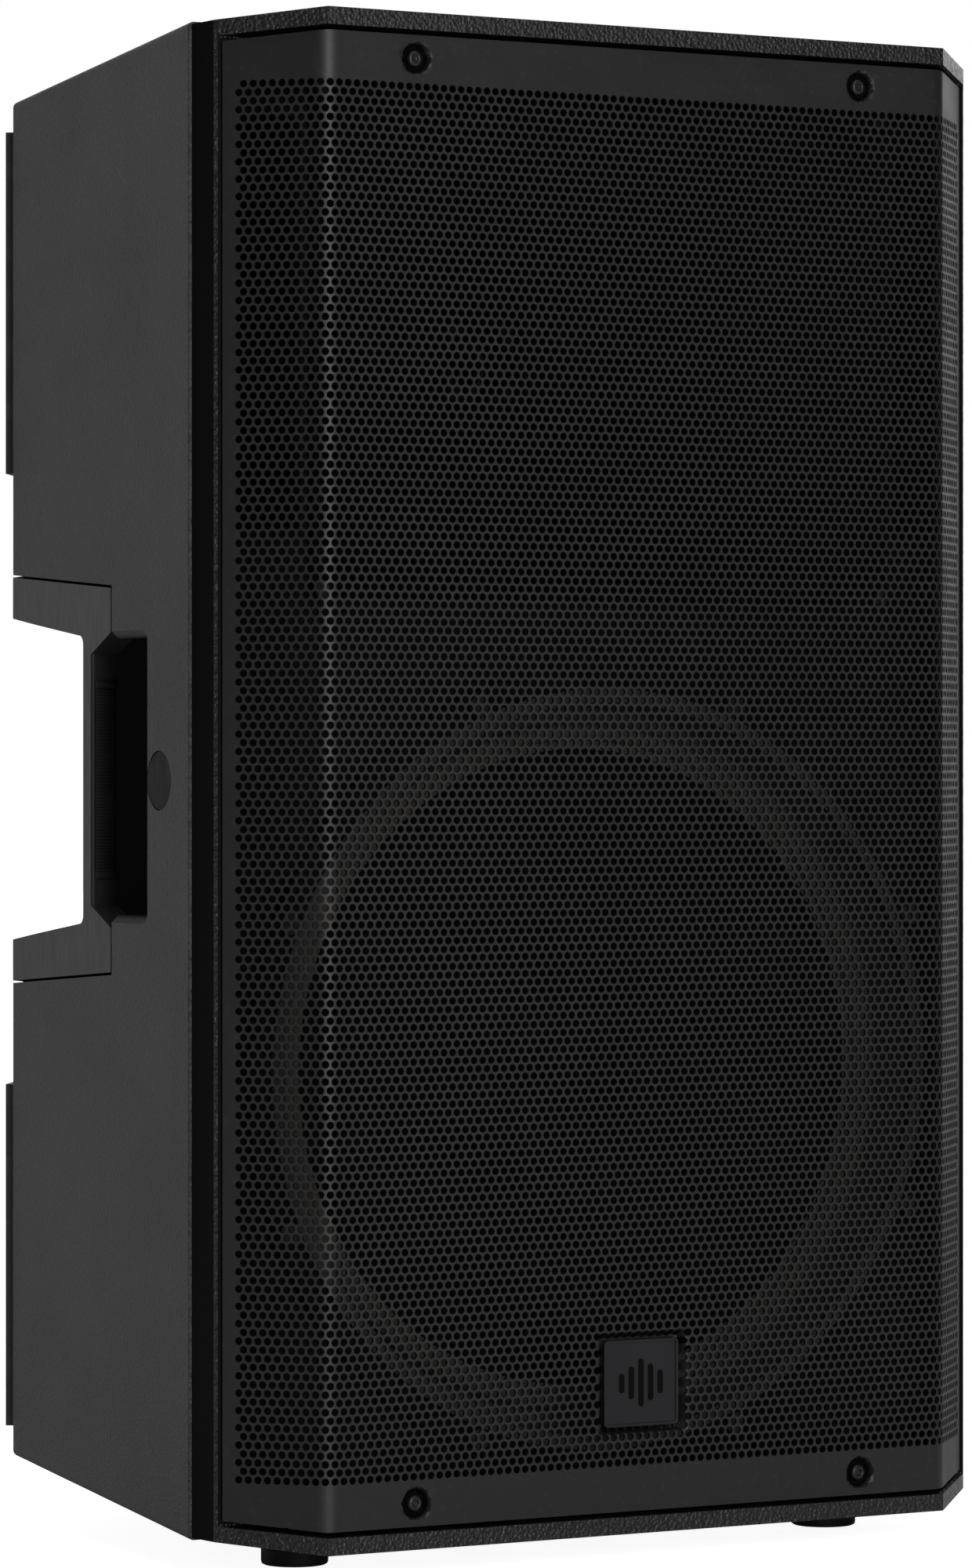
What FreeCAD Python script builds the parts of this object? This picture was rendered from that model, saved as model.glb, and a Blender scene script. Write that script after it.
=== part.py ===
"""Two-way active loudspeaker cabinet with a 15 inch class woofer.

Frame: +X to the right and -Y towards the listener, +Z up, millimetres. The origin is under the
middle of the cabinet, on the surface that the feet stand on. Depths are counted from the flat
front plane towards the back, heights from the floor, and both are bound to the sheet below.
"""
import FreeCAD, Part
import Sketcher
import os
import re

SIZES = {
    # outside form, as half widths and half heights about the mid height of the cabinet
    "front_plane": -192.5, "mid_height": 359.5,
    "front_half": 166.35, "front_rise": 347.0,
    "facet_half": 203.85, "facet_depth": 37.5, "facet_rise": 342.4,
    "band_half": 209.85, "band_depth": 48.5, "band_rise": 341.2,
    "side_half": 211.5, "side_rise": 342.5,
    "corner_half": 198.25, "corner_depth": 257.0, "corner_rise": 325.5,
    "rear_half": 122.0, "rear_depth": 366.0, "rear_rise": 317.0,
    "shell_wall": 6.0, "edge_radius": 3.0, "rim_radius": 1.0,
    # front moulding and grille
    "lip_front_rise": 339.1, "lip_back_rise": 335.2, "cavity_half": 202.9,
    "spigot_half": 205.0, "spigot_rise": 336.0, "spigot_depth": 60.0, "spigot_wall": 6.0,
    "grille_recess": 1.5, "grille_sheet": 1.5, "grille_facet": 49.6,
    "grille_front_rise": 336.9, "grille_back_rise": 332.7,
    "badge_height": 81.6, "badge_side": 40.0, "badge_depth": 2.6,
    "pan_side": 48.0, "pan_floor_side": 42.0, "pan_depth": 7.0,
    "grille_screw_x": 120.0, "grille_screw_rise": 326.3, "dimple_radius": 7.5,
    "dimple_depth": 4.5, "grille_screw_radius": 2.5, "grille_head_radius": 3.75,
    "grille_boss_radius": 6.0, "grille_screw_length": 22.0,
    # woofer, turned about its own axis
    "woofer_height": 225.0, "flange_radius": 189.0, "flange_thick": 4.0,
    "board_opening": 176.0, "bolt_circle": 182.5, "bolt_radius": 2.5, "bolt_head": 5.0,
    "basket_wall": 3.0, "basket_back_radius": 95.0, "basket_back": 118.0,
    "plate_front": 124.0, "plate_radius": 80.0, "plate_thick": 10.0, "gap_radius": 40.3,
    "magnet_radius": 90.0, "magnet_hole": 46.0, "magnet_thick": 20.0,
    "pole_radius": 36.0, "pole_vent": 10.0, "coil_inside": 37.0, "coil_outside": 39.4,
    "cone_radius": 150.0, "cone_front": 60.0, "cone_neck": 104.0, "cone_wall": 1.6,
    "cap_radius": 52.0, "coil_back": 142.0, "spider_radius": 84.0, "spider_depth": 115.0,
    "surround_radius": 172.0, "surround_fit": 0.4, "basket_bend": 70.0, "spider_rim": 6.0,
    "window_half": 19.0, "window_front": 73.0, "window_back": 111.0,
    # horn and compression driver
    "horn_height": 560.0, "horn_half": 148.0, "horn_rise": 110.0, "horn_flange_half": 156.0,
    "horn_flange_rise": 118.0, "horn_bend_half": 92.0, "horn_bend_rise": 58.0,
    "horn_bend": 74.0, "horn_throat": 150.0, "throat_radius": 18.0, "horn_wall": 4.0,
    "driver_radius": 62.0, "driver_front": 150.5, "driver_back": 214.0, "driver_wall": 12.0,
    "dome_radius": 32.0, "dome_travel_gap": 1.0, "cover_back": 226.0,
    # reflex ducts beside the horn
    "duct_inside": 160.0, "duct_outside": 196.0, "duct_low": 472.0, "duct_high": 660.0,
    "duct_wall": 3.0, "duct_back": 158.0,
    # side handles: a pocket, a bar, and a notch through the rear corner
    "pocket_front": 98.5, "pocket_low": 297.0, "pocket_high": 425.0, "pocket_floor": 157.0,
    "recess_turn": 250.0, "recess_back_half": 98.0, "recess_back": 372.0,
    "recess_wall": 4.0, "seat_front": 136.5, "seat_back": 282.0,
    "seat_front_rise": 90.3, "seat_back_rise": 99.6, "seat_gap": 1.2,
    "pocket_flare": 3.5, "pocket_corner": 8.0,
    "bar_front": 160.4, "bar_back": 166.1, "bar_inside": 190.8, "bar_bevel": 1.5,
    "skin_inside": 202.7, "gusset_rise": 58.9, "gusset_top": 69.0,
    "notch_front_rise": 71.6, "notch_back_rise": 78.4, "notch_corner": 5.0,
    "notch_front_slant": 16.0, "notch_back_slant": -9.5,
    "grip_low": 313.0, "grip_high": 406.0, "grip_back": 166.0,
    "plug_depth": 82.0, "plug_radius": 13.5, "plug_thick": 2.9,
    "rear_insert_rise": 275.0, "insert_radius": 9.0, "thread_radius": 5.0, "insert_long": 16.0,
    # feet, rails and the pole socket
    "foot_front_x": 145.0, "foot_rear_x": 98.0, "foot_front": 71.0, "foot_rear": 238.0,
    "foot_radius": 15.5,
    "foot_high": 8.0, "foot_screw": 2.2, "foot_head": 4.5,
    "rail_thick": 4.5, "rail_wide": 22.0, "rail_offset": 6.0, "rail_low": 147.0,
    "rail_high": 311.5, "rail_tilt": 34.97,
    "pole_depth": 196.0, "pole_bore": 18.2, "pole_tube": 23.0, "pole_flange": 45.0,
    "pole_low": 26.0, "pole_bore_top": 98.0, "pole_seat": 39.0,
    # amplifier module on the rear face
    "amp_height": 310.0, "amp_half": 92.0, "amp_rise": 210.0, "amp_thick": 3.0,
    "amp_open_half": 82.0, "amp_open_rise": 200.0, "gasket_thick": 1.0,
    "sink_low": 352.0, "sink_high": 502.0, "sink_half": 80.0, "sink_base": 4.0,
    "fin_thick": 2.0, "fin_high": 11.0,
    "input_x": 50.0, "connector_height": 196.0, "mains_height": 136.0,
    "control_height": 262.0, "shell_radius": 12.5, "connector_face": 2.0,
    "connector_deep": 22.0, "connector_half": 14.5, "connector_rise": 17.0,
    "mains_half": 15.0, "mains_rise": 17.0, "mains_deep": 26.0,
    "rocker_x": 52.0, "rocker_half": 7.5, "rocker_rise": 11.0, "rocker_tilt": 8.0,
    "pin_radius": 1.5, "pin_reach": 8.3, "pin_depth": 3.0, "key_low": 8.0, "key_high": 14.0,
    "knob_radius": 9.0, "knob_long": 8.0, "spindle_radius": 3.0,
    "button_radius": 3.5, "latch_half": 4.0, "latch_low": 10.6, "latch_high": 13.4,
    "lamp_radius": 1.9, "lamp_pitch": 9.0, "lamp_rise": 28.0, "contact_radius": 1.2,
    "board_depth": 34.0, "board_thick": 1.6, "board_edge": 8.0, "board_end": 16.0,
    "can_radius": 11.0, "can_pitch": 26.0, "can_back": 74.0, "can_rise": 40.0,
    "winding_radius": 30.0, "winding_hole": 9.0, "winding_back": 68.0, "winding_drop": 60.0,
    "device_wide": 20.0, "device_pitch": 30.0, "device_rise": 100.0, "device_thick": 4.5,
    # sound absorbing fleece
    "fleece_half": 112.0, "fleece_front": 262.0, "fleece_back": 338.0,
    "fleece_low": 178.0, "fleece_high": 288.0,
}

ALONG_Y = FreeCAD.Rotation(FreeCAD.Vector(1, 0, 0), -90)
ALONG_X = FreeCAD.Rotation(FreeCAD.Vector(0, 1, 0), 90)
SIDE_PLANE = FreeCAD.Rotation(FreeCAD.Vector(1, 1, 1), 120)
UPRIGHT = FreeCAD.Rotation()

document = FreeCAD.newDocument("LoudspeakerCabinet")
sheet = document.addObject("Spreadsheet::Sheet", "Sizes")
for row, (alias, value) in enumerate(SIZES.items(), start=1):
    sheet.set(f"A{row}", alias)
    sheet.set(f"B{row}", str(value))
    sheet.setAlias(f"B{row}", alias)
document.recompute()

finished = []


def bound(text):
    """Turn words of the sheet in an expression into references to its cells."""
    def reference(word):
        return f"Sizes.{word.group(0)}" if word.group(0) in SIZES else word.group(0)

    return re.sub(r"[a-z_]+", reference, str(text))


def from_front(depth):
    """Y position of a depth behind the flat front plane."""
    return f"front_plane + {depth}"


def place(thing, at, rotation=UPRIGHT):
    """Turn a feature and bind its position to the sheet."""
    thing.Placement = FreeCAD.Placement(FreeCAD.Vector(), rotation)
    for axis, text in zip("xyz", at):
        thing.setExpression(f"Placement.Base.{axis}", bound(text))
    return thing


def make(kind, name, at=(0, 0, 0), rotation=UPRIGHT, **sizes):
    """One primitive, with each size bound to the sheet."""
    thing = document.addObject(f"Part::{kind}", name)
    for size, text in sizes.items():
        thing.setExpression(size, bound(text))
    return place(thing, at, rotation)


def block(name, x, depth, z):
    """Box between two places on each axis."""
    return make(
        "Box", name, (x[0], from_front(depth[0]), z[0]),
        Length=f"({x[1]}) - ({x[0]})", Width=f"({depth[1]}) - ({depth[0]})",
        Height=f"({z[1]}) - ({z[0]})",
    )


def rod(name, radius, x, depth, z):
    """Cylinder along Y between two depths."""
    length = f"({depth[1]}) - ({depth[0]})"
    return make("Cylinder", name, (x, from_front(depth[0]), z), ALONG_Y, Radius=radius, Height=length)


def post(name, radius, x, depth, z):
    """Cylinder along Z between two heights."""
    length = f"({z[1]}) - ({z[0]})"
    return make("Cylinder", name, (x, from_front(depth), z[0]), Radius=radius, Height=length)


def frustum(name, depth, half, rise, centre="mid_height", middle="0"):
    """Block whose width and height change from its front depth to its back depth."""
    return make(
        "Wedge", name, (middle, from_front(0), centre),
        Ymin=depth[0], Ymax=depth[1],
        Xmin=f"-({half[0]})", Xmax=half[0], Zmin=f"-({rise[0]})", Zmax=rise[0],
        X2min=f"-({half[1]})", X2max=half[1], Z2min=f"-({rise[1]})", Z2max=rise[1],
    )


def draw(sketch, points):
    """Closed outline of straight lines through points bound to the sheet."""
    count = len(points)
    values = [[evaluate(text) for text in point] for point in points]
    for index in range(count):
        start = FreeCAD.Vector(*values[index], 0)
        end = FreeCAD.Vector(*values[(index + 1) % count], 0)
        sketch.addGeometry(Part.LineSegment(start, end), False)
    for index in range(count):
        sketch.addConstraint(Sketcher.Constraint("Coincident", index, 2, (index + 1) % count, 1))
    for index, point in enumerate(points):
        for kind, text, value, axis in zip(
            ("DistanceX", "DistanceY"), point, values[index], (-2, -1)
        ):
            if value == 0.0:
                sketch.addConstraint(Sketcher.Constraint("PointOnObject", index, 1, axis))
                continue
            row = sketch.addConstraint(Sketcher.Constraint(kind, -1, 1, index, 1, value))
            sketch.setExpression(f"Constraints[{row}]", bound(text))


def evaluate(text):
    """Number that an expression of sheet words has now."""
    return float(sheet.evalExpression(bound(text))) if isinstance(text, str) else float(text)


def sketched_body(name, points, plane="XY_Plane"):
    """New body with one outline sketch on an origin plane."""
    body = document.addObject("PartDesign::Body", name)
    sketch = body.newObject("Sketcher::SketchObject", f"{name}_outline")
    support = next(item for item in body.Origin.OriginFeatures if item.Role == plane)
    sketch.AttachmentSupport = [(support, "")]
    sketch.MapMode = "FlatFace"
    draw(sketch, points)
    document.recompute()
    return body, sketch


def plan_block(name, points, z):
    """Upright prism from a plan outline of half widths and depths, padded between two heights."""
    body, sketch = sketched_body(name, points)
    pad = body.newObject("PartDesign::Pad", f"{name}_pad")
    pad.Profile = sketch
    pad.setExpression("Length", bound(f"({z[1]}) - ({z[0]})"))
    return place(body, ("0", from_front(0), z[0]))


def turned(name, points, z, x="0"):
    """Body turned about a Y axis from an outline of radii and depths."""
    body, sketch = sketched_body(name, points)
    revolution = body.newObject("PartDesign::Revolution", f"{name}_turn")
    revolution.Profile = sketch
    revolution.ReferenceAxis = (sketch, ["V_Axis"])
    revolution.Angle = 360.0
    return place(body, (x, from_front(0), z))


def side_loft(name, near, near_x, far, far_x):
    """Solid lofted along X between two outlines of depths and heights."""
    sections = []
    for index, (points, x) in enumerate(((near, near_x), (far, far_x))):
        sketch = document.addObject("Sketcher::SketchObject", f"{name}_section{index}")
        draw(sketch, points)
        place(sketch, (x, from_front(0), "0"), SIDE_PLANE)
        sections.append(sketch)
    loft = document.addObject("Part::Loft", name)
    loft.Sections = sections
    loft.Solid = True
    loft.Ruled = True
    return loft


def fuse(name, *shapes):
    """Join overlapping or touching shapes into one solid."""
    joined = document.addObject("Part::MultiFuse", name)
    joined.Shapes = list(shapes)
    return joined


def common(name, first, second):
    """Keep what two shapes share."""
    shared = document.addObject("Part::MultiCommon", name)
    shared.Shapes = [first, second]
    return shared


def cut(name, base, *tools):
    """Take one or more tools away from a base."""
    result = document.addObject("Part::Cut", name)
    result.Base = base
    result.Tool = tools[0] if len(tools) == 1 else fuse(f"{name}_tools", *tools)
    return result


def group(name, shapes):
    """Separate solids that share one node, such as identical fasteners."""
    compound = document.addObject("Part::Compound", name)
    compound.Links = list(shapes)
    return compound


def mirrored(name, source):
    """Copy on the other side of the middle plane."""
    copy = document.addObject("Part::Mirroring", name)
    copy.Source = source
    copy.Normal = FreeCAD.Vector(1, 0, 0)
    copy.Base = FreeCAD.Vector(0, 0, 0)
    return copy


def done(label, shape):
    """Mark a feature as a finished sub-part with its own label."""
    shape.Label = label
    finished.append(shape)
    return shape


def both_sides(name, right):
    """Finish a right-hand piece and its left-hand mirror image."""
    done(f"right_{name}", right)
    done(f"left_{name}", mirrored(f"{name}_mirror", right))


def round_edges(name, base, chosen):
    """Fillet the edges for which chosen gives a radius."""
    document.recompute()
    fillet = document.addObject("Part::Fillet", name)
    fillet.Base = base
    picked = []
    for index, edge in enumerate(base.Shape.Edges, start=1):
        radius = chosen(edge)
        if radius:
            picked.append((index, radius, radius))
    fillet.Edges = picked
    return fillet


def below(half):
    """Height of a half rise under the mid height."""
    return f"mid_height - ({half})"


def above(half):
    """Height of a half rise over the mid height."""
    return f"mid_height + ({half})"


def outside(name, inset="0"):
    """Closed form of the rear enclosure, inset from its outside by a wall."""
    front = frustum(
        f"{name}_front", ("band_depth", "corner_depth"),
        (f"side_half - {inset}", f"corner_half - {inset}"),
        (f"side_rise - {inset}", f"corner_rise - {inset}"),
    )
    rear = frustum(
        f"{name}_rear", ("corner_depth", f"rear_depth - {inset}"),
        (f"corner_half - {inset}", f"rear_half - {inset}"),
        (f"corner_rise - {inset}", f"rear_rise - {inset}"),
    )
    return fuse(name, front, rear)


def recess(name, grow):
    """Handle recess of the right side, grown by a wall: pocket, frame seat and rear slot."""
    far = "side_half + shell_wall"
    far_back = "rear_depth + shell_wall * 5"
    pocket = plan_block(
        f"{name}_pocket",
        [
            (far, f"pocket_front - {grow}"), ("side_half - shell_wall", f"pocket_front - {grow}"),
            (f"pocket_floor - {grow}", f"pocket_front + 26 - {grow}"),
            (f"pocket_floor - {grow}", "recess_turn"),
            (f"recess_back_half - {grow}", "recess_back"),
            (f"recess_back_half - {grow}", far_back), (far, far_back),
        ],
        (f"pocket_low - {grow}", f"pocket_high + {grow}"),
    )
    slot = plan_block(
        f"{name}_slot",
        [
            (far, f"seat_front - {grow}"), (f"pocket_floor - {grow}", f"seat_front - {grow}"),
            (f"pocket_floor - {grow}", "recess_turn"),
            (f"recess_back_half - {grow}", "recess_back"),
            (f"recess_back_half - {grow}", far_back), (far, far_back),
        ],
        (below(f"notch_back_rise + {grow}"), above(f"notch_back_rise + {grow}")),
    )
    seat = seat_block(f"{name}_seat", grow)
    return fuse(name, pocket, slot, seat)


def seat_block(name, grow):
    """Space in the rear corner that the handle frame fills."""
    width = f"(side_half + shell_wall - pocket_floor + {grow}) / 2"
    return frustum(
        name, (f"seat_front - {grow}", f"seat_back + {grow}"), (width, width),
        (f"seat_front_rise + {grow}", f"seat_back_rise + {grow}"),
        middle=f"(side_half + shell_wall + pocket_floor - {grow}) / 2",
    )


def mouth_flare(name):
    """Bevelled mouth with round corners round the right pocket, square to the tapered side."""
    reach = "(seat_front + 10 - pocket_front) / 2"
    tall = "(pocket_high - pocket_low) / 2"
    taper = "(side_half - corner_half) / (corner_depth - band_depth)"
    middle = f"pocket_front + {reach}"
    tilt = FreeCAD.Rotation(FreeCAD.Vector(0, 0, 1), -90 + evaluate(f"atan({taper})"))
    cutter = make(
        "Wedge", name,
        (
            f"side_half - ({middle} - band_depth) * {taper}", from_front(middle),
            f"pocket_low + {tall}",
        ),
        tilt,
        Ymin="-pocket_flare", Ymax="pocket_flare",
        Xmin=f"-{reach}", Xmax=reach, Zmin=f"-{tall}", Zmax=tall,
        X2min=f"-{reach} - 2 * pocket_flare", X2max=f"{reach} + 2 * pocket_flare",
        Z2min=f"-{tall} - 2 * pocket_flare", Z2max=f"{tall} + 2 * pocket_flare",
    )

    def slanted(edge):
        span = abs(edge.Vertexes[0].X - edge.Vertexes[-1].X)
        return evaluate("pocket_corner") if span > evaluate("1.5 * pocket_flare") else 0.0

    return round_edges(f"{name}_round", cutter, slanted)


def build_shell():
    """Moulded rear enclosure with handle recesses, foot bosses, sockets and the amplifier opening."""
    full = outside("shell_form")
    front_y = evaluate("front_plane + band_depth")
    rim = evaluate("rim_radius")
    corner = evaluate("edge_radius")

    def radius_for(edge):
        on_rim = all(abs(vertex.Y - front_y) < 0.01 for vertex in edge.Vertexes)
        return rim if on_rim else corner

    rounded = round_edges("shell_rounded", full, radius_for)
    bosses = []
    for side in (-1, 1):
        for end in ("front", "rear"):
            bosses.append(
                post(
                    f"foot_boss_{len(bosses)}", "foot_radius + 1", f"{side} * foot_{end}_x",
                    f"foot_{end}", ("foot_high", "foot_high + 32"),
                )
            )
    solid = fuse("shell_solid", rounded, *bosses)
    recesses = [recess("recess_right", "0")]
    recesses.append(mirrored("recess_left", recesses[0]))
    recesses.append(mouth_flare("flare_right"))
    recesses.append(mirrored("flare_left", recesses[2]))
    hollow = outside("shell_hollow", "shell_wall")
    walls = [recess("recess_wall_right", "recess_wall")]
    walls.append(mirrored("recess_wall_left", walls[0]))
    inside = cut("shell_inside", hollow, *walls)
    mouth = frustum(
        "shell_mouth", ("band_depth - 1", "band_depth + 1"),
        ("side_half - shell_wall", "side_half - shell_wall"),
        ("side_rise - shell_wall", "side_rise - shell_wall"),
    )
    openings = [
        block(
            "amp_opening", ("-amp_open_half", "amp_open_half"),
            ("rear_depth - 12", "rear_depth + 12"),
            ("amp_height - amp_open_rise", "amp_height + amp_open_rise"),
        ),
        post("pole_opening", "pole_flange + 0.3", "0", "pole_depth", ("0", "pole_seat + 2")),
        rod(
            "rear_insert_hole", "insert_radius", "0",
            ("rear_depth - 12", "rear_depth + 12"), above("rear_insert_rise"),
        ),
    ]
    for side in (-1, 1):
        openings.append(
            make(
                "Cylinder", f"plug_hole_{side + 1}",
                (f"{side} * side_half - 20", from_front("plug_depth"), "mid_height"), ALONG_X,
                Radius="plug_radius + 0.2", Height="40",
            )
        )
        for end in ("front", "rear"):
            openings.append(
                post(
                    f"foot_hole_{len(openings)}", "foot_screw", f"{side} * foot_{end}_x",
                    f"foot_{end}", ("0", "foot_high + 14"),
                )
            )
    done("cabinet_shell", cut("shell", solid, *recesses, inside, mouth, *openings))
    return full


def ring(name, outer, inner, x, depth, z):
    """Flat ring or tube along Y."""
    hole = rod(f"{name}_hole", inner, x, (f"{depth[0]} - 1", f"{depth[1]} + 1"), z)
    return cut(name, rod(f"{name}_disc", outer, x, depth, z), hole)


def around(count, radius, height):
    """Places spaced evenly on a circle about the woofer or driver axis."""
    for index in range(count):
        angle = f"({index} * 360 / {count} + 180 / {count})"
        yield f"{radius} * sin({angle})", f"{height} + {radius} * cos({angle})"


def screws(name, places, head_front, head, shank_end, shank):
    """Pan head screws along Y, as separate solids of one node."""
    made = []
    for index, (x, z) in enumerate(places):
        body = rod(f"{name}_shank_{index}", shank, x, (head_front, shank_end), z)
        cap = rod(f"{name}_head_{index}", head, x, (f"{head_front} - 2.5", head_front), z)
        made.append(fuse(f"{name}_{index}", body, cap))
    return done(name, group(f"{name}_group", made))


def grille_screw_places():
    """The four grille fixing points."""
    for side in (-1, 1):
        for level in (-1, 1):
            yield f"{side} * grille_screw_x", f"mid_height + {level} * grille_screw_rise"


def build_front():
    """Moulded front: frame lip, facets, band and the board that carries the drive units."""
    facet = frustum(
        "front_facet", ("0", "facet_depth"), ("front_half", "facet_half"),
        ("front_rise", "facet_rise"),
    )
    band = frustum(
        "front_band", ("facet_depth", "band_depth"), ("facet_half", "band_half"),
        ("facet_rise", "band_rise"),
    )
    spigot = frustum(
        "front_spigot", ("band_depth", "spigot_depth"), ("spigot_half - 0.3", "spigot_half - 1"),
        ("spigot_rise - 0.3", "spigot_rise - 1.3"),
    )
    form = fuse("front_form", facet, band, spigot)
    cavity = frustum(
        "front_cavity", ("-6", "facet_depth"), ("cavity_half", "cavity_half"),
        ("lip_front_rise + 0.6", "lip_back_rise"),
    )
    back = frustum(
        "front_back", ("band_depth", "spigot_depth + 5"),
        ("spigot_half - spigot_wall", "spigot_half - spigot_wall"),
        ("spigot_rise - spigot_wall", "spigot_rise - spigot_wall"),
    )
    tools = [
        cavity,
        back,
        rod("woofer_opening", "board_opening", "0", ("20", "70"), "woofer_height"),
        block(
            "horn_opening", ("-horn_half - 4.5", "horn_half + 4.5"), ("20", "70"),
            ("horn_height - horn_rise - 4.5", "horn_height + horn_rise + 4.5"),
        ),
    ]
    for side in (-1, 1):
        low, high = sorted((f"{side} * duct_inside", f"{side} * duct_outside"), key=evaluate)
        tools.append(
            block(f"duct_opening_{side + 1}", (low, high), ("20", "70"), ("duct_low", "duct_high"))
        )
    hollow = cut("front_hollow", form, *tools)
    posts = []
    holes = []
    for index, (x, z) in enumerate(grille_screw_places()):
        posts.append(
            rod(f"grille_post_{index}", "grille_boss_radius", x, ("pan_depth", "band_depth"), z)
        )
        holes.append(
            rod(
                f"grille_post_hole_{index}", "grille_screw_radius", x,
                ("0", "grille_screw_length + 5"), z,
            )
        )
    for index, (x, z) in enumerate(around(8, "bolt_circle", "woofer_height")):
        holes.append(rod(f"bolt_hole_{index}", "bolt_radius", x, ("20", "70"), z))
    done("front_baffle", cut("front", fuse("front_posts", hollow, *posts), *holes))


def grille_outline(inset):
    """Half of the folded sheet's plan line at an inset from the front, from the fold to the end."""
    bend = f"(front_half - ({inset}) * tan(22.5))"
    end = f"(front_half + (grille_facet - ({inset})) * cos(45))"
    end_depth = f"((grille_facet + ({inset})) * cos(45))"
    return bend, end, end_depth


def build_grille():
    """Folded steel grille with dimples at its screws and a square pan for the badge."""
    outer = "grille_recess"
    inner = "grille_recess + grille_sheet"
    bend, end, end_depth = grille_outline(outer)
    bend_in, end_in, end_depth_in = grille_outline(inner)
    sheet_form = plan_block(
        "grille_form",
        [
            (f"-{bend}", outer), (bend, outer), (end, end_depth), (end_in, end_depth_in),
            (bend_in, inner), (f"-{bend_in}", inner), (f"-{end_in}", end_depth_in),
            (f"-{end}", end_depth),
        ],
        ("1", "2 * mid_height"),
    )
    trim = frustum(
        "grille_trim", ("0", "facet_depth + 1"), ("facet_half", "facet_half"),
        ("grille_front_rise", "grille_back_rise - 0.1"),
    )
    folded = common("grille_folded", sheet_form, trim)
    wells = []
    holes = []
    cups = []
    for index, (x, z) in enumerate(grille_screw_places()):
        centre = (x, from_front(outer), z)
        wells.append(
            make(
                "Cone", f"dimple_{index}", centre, ALONG_Y, Radius1="dimple_radius",
                Radius2="dimple_radius - 2", Height="dimple_depth",
            )
        )
        cups.append(
            make(
                "Cone", f"dimple_inside_{index}", (x, from_front(f"{outer} - 0.1"), z), ALONG_Y,
                Radius1="dimple_radius - 1.2", Radius2="dimple_radius - 3.1",
                Height="dimple_depth - grille_sheet + 0.1",
            )
        )
        holes.append(
            rod(
                f"dimple_hole_{index}", "grille_screw_radius + 0.3", x,
                ("0", "dimple_depth + 5"), z,
            )
        )
    pan_halves = ("pan_side / 2 + 1", "pan_floor_side / 2 + 1.2")
    pan = frustum(
        "badge_pan", (outer, "pan_depth + grille_sheet"), pan_halves, pan_halves,
        centre="badge_height",
    )
    pan_halves_inside = ("pan_side / 2", "pan_floor_side / 2")
    pan_inside = frustum(
        "badge_pan_inside", (f"{outer} - 1", "pan_depth"), pan_halves_inside, pan_halves_inside,
        centre="badge_height",
    )
    solid = fuse("grille_solid", folded, pan, *wells)
    done("front_grille", cut("grille", solid, pan_inside, *cups, *holes))
    screws(
        "grille_screws", grille_screw_places(), "grille_recess + dimple_depth - grille_sheet",
        "grille_head_radius", "grille_screw_length", "grille_screw_radius - 0.2",
    )
    badge = block(
        "badge_block", ("-badge_side / 2", "badge_side / 2"),
        ("badge_depth", "pan_depth"),
        ("badge_height - badge_side / 2", "badge_height + badge_side / 2"),
    )
    done("badge_plate", badge)


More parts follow.
